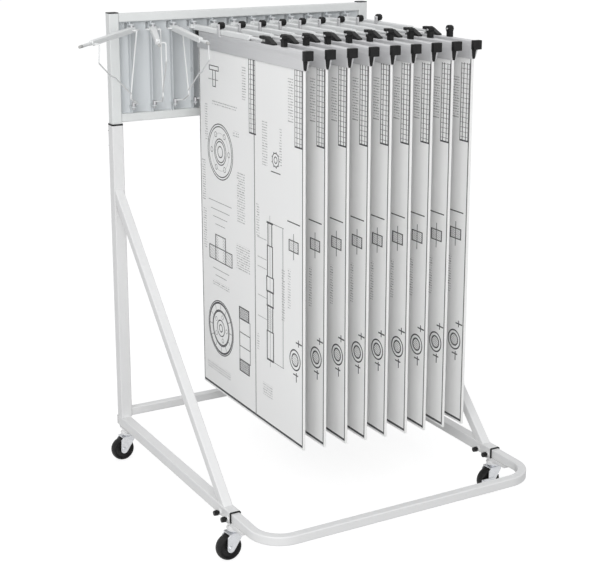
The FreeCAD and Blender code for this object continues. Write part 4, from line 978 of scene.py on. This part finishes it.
def draw_sections(d):
    """Cut views: a stepped hub between the wheels and a tall rim beside the flange."""
    web, neck, bore = d.patch(*HUB_WEB), d.patch(*HUB_NECK), d.patch(*HUB_BORE)
    solid = d.math("SUBTRACT", d.most(web, neck), bore, clamp=True)
    d.draw(d.hatching(solid, 7.0, 1.6), 0.75)
    d.draw(d.frame_line(*HUB_BODY, 1.6))
    d.draw(d.frame_line(*HUB_WEB, 1.6))
    for at, half in HUB_LINES:
        d.draw(d.stroke(HUB_MIDDLE - half, HUB_MIDDLE + half, at, 1.1), 0.7)
    for top, bottom in RIM_CUTS:
        d.draw(d.hatching(d.patch(RIM_LEFT, top, RIM_RIGHT, bottom), 5.0, 2.4))
        d.draw(d.frame_line(RIM_LEFT, top, RIM_RIGHT, bottom, 2.0))
    d.draw(d.frame_line(RIM_LEFT, 650, RIM_LIP, 752, 1.4), 0.8)
    d.draw(d.frame_line(RIM_LEFT, 684, RIM_LIP, 718, 1.4))


def draw_shaft(d):
    """The stepped shaft with its stations, a dimension line and leaders."""
    for top, bottom, half in SHAFT_STEPS:
        d.draw(d.frame_line(SHAFT_AXIS - half, top, SHAFT_AXIS + half, bottom, 1.7))
    d.draw(d.hatching(d.patch(SHAFT_AXIS - 12, 586, SHAFT_AXIS + 12, 634), 5.0, 1.2), 0.6)
    d.draw(d.drop(370, 724, SHAFT_AXIS, 0.8), 0.6)
    d.draw(d.drop(SHAFT_TOP, SHAFT_FOOT, MEASURE_AT, 1.1), 0.8)
    for at in (SHAFT_TOP, SHAFT_FOOT):
        d.draw(d.stroke(SHAFT_AXIS + 14, MEASURE_AT + 4, at, 1.0), 0.8)
    for at in SHAFT_LEADERS:
        d.draw(d.stroke(LEADER_START, SHAFT_AXIS - 16, at, 1.0), 0.6)
    for at in SHAFT_COLLARS:
        d.draw(d.stroke(SHAFT_AXIS - 17, SHAFT_AXIS + 17, at, 2.6))
    d.draw(d.stroke(SHAFT_AXIS - 15, SHAFT_AXIS + 15, SHAFT_TOP + 1, 3.0))
    d.draw(d.stroke(SHAFT_AXIS - 16, SHAFT_AXIS + 16, SHAFT_FOOT, 3.0))


def draw_small_views(d):
    """The little views near the edges: a tee, a gear, a boss with its marks and a key."""
    d.draw(d.frame_line(*TEE_HEAD, 1.4))
    d.draw(d.frame_line(*TEE_STEM, 1.4))
    d.draw(d.stroke(52, 104, 100, 1.2), 0.7)
    far, angle = d.from_point(*GEAR_SPOT)
    d.draw(d.rings(far, (15, 7), 1.6))
    d.draw(d.spokes(far, angle, 9, 15, 19, 2.4))
    d.draw(d.stroke(362, 406, 268, 1.6))
    far, angle = d.from_point(*BOSS_SPOT)
    d.draw(d.rings(far, (23, 14), 2.2))
    d.draw(d.hatching(d.math("LESS_THAN", far, 14.0), 5.0, 1.4), 0.8)
    d.draw(d.stroke(474, 500, 630, 2.2))
    d.draw(d.drop(622, 638, 486, 1.4))
    d.draw(d.stroke(462, 484, 706, 2.0))
    d.draw(d.drop(700, 722, 476, 1.4))
    d.draw(d.frame_line(*KEY, 1.6))
    d.draw(d.hatching(d.patch(*KEY), 5.0, 1.6), 0.7)
    d.draw(d.drop(388, 446, 464, 1.2), 0.8)
    d.draw(d.stroke(436, 492, 364, 1.8))


def draw_ruling(d):
    """The border with its heavy foot, the fold and the parts lists."""
    d.draw(d.frame_line(BORDER_LEFT, BORDER_TOP, BORDER_RIGHT, BORDER_FOOT, 1.3))
    d.draw(d.stroke(BORDER_LEFT, BORDER_RIGHT, BORDER_FOOT - 2.5, 2.6))
    d.draw(d.drop(12, BORDER_FOOT, FOLD, 1.3))
    for place in PARTS_LISTS:
        d.draw(d.parts_list(*place))


def draw_notes(d):
    """Blocks of writing, lighter than the lines."""
    for place in NOTES_BLOCKS:
        d.draw(d.notes(*place), 0.6)


PAPER_TONES = ((0.94, 0.94, 0.935), (0.92, 0.92, 0.915))
# The first colour on the next line is painted shade for the gaps between leaves on the stack's rim; the
# second is ink.
LEAF_GAP_PAINTED_SHADE, INK = (0.55, 0.55, 0.54), (0.035, 0.035, 0.04)


def plan_paper(name):
    """Matt paper with the drawing on its face, a ghost of it on the back and painted shade between the
    leaves on its rim.
    """
    d = Drawing(name)
    draw_ruling(d)
    draw_wheels(d)
    draw_sections(d)
    draw_shaft(d)
    draw_small_views(d)
    draw_notes(d)
    printed = d.ramp(d.face, -0.5, 0.97, 0.08, 0.97)
    flat = d.math("GREATER_THAN", d.math("ABSOLUTE", d.face), 0.98)
    ink = d.both(d.ink, printed, flat)
    fibre = d.noise(1.1, 4.0)
    tone = d.blend(d.noise(120, 3.0), *PAPER_TONES)
    # On the rim, away from the two faces, fine grey lines are painted shade in the gaps between leaves,
    # mixed in at 0.45.
    depth = d.math("MULTIPLY", d.math("ADD", d.face, 1.0), 5.0)
    leaf_gap_lines = d.inside(d.math("MODULO", depth, 1.0), 0.0, 0.3)
    edge = d.both(leaf_gap_lines, d.math("SUBTRACT", 1.0, flat), 0.45)
    paper = d.blend(edge, tone, LEAF_GAP_PAINTED_SHADE)
    colour = d.blend(ink, paper, INK)
    return d.finish(colour, d.ramp(fibre, 0.3, 0.7, 0.78, 0.92), 0.0, d.bump(fibre, 0.03))


paper = plan_paper("plan_paper")
for stack in stacks:
    stack.data.materials.append(paper)
print("drawing of", len(paper.node_tree.nodes), "steps")
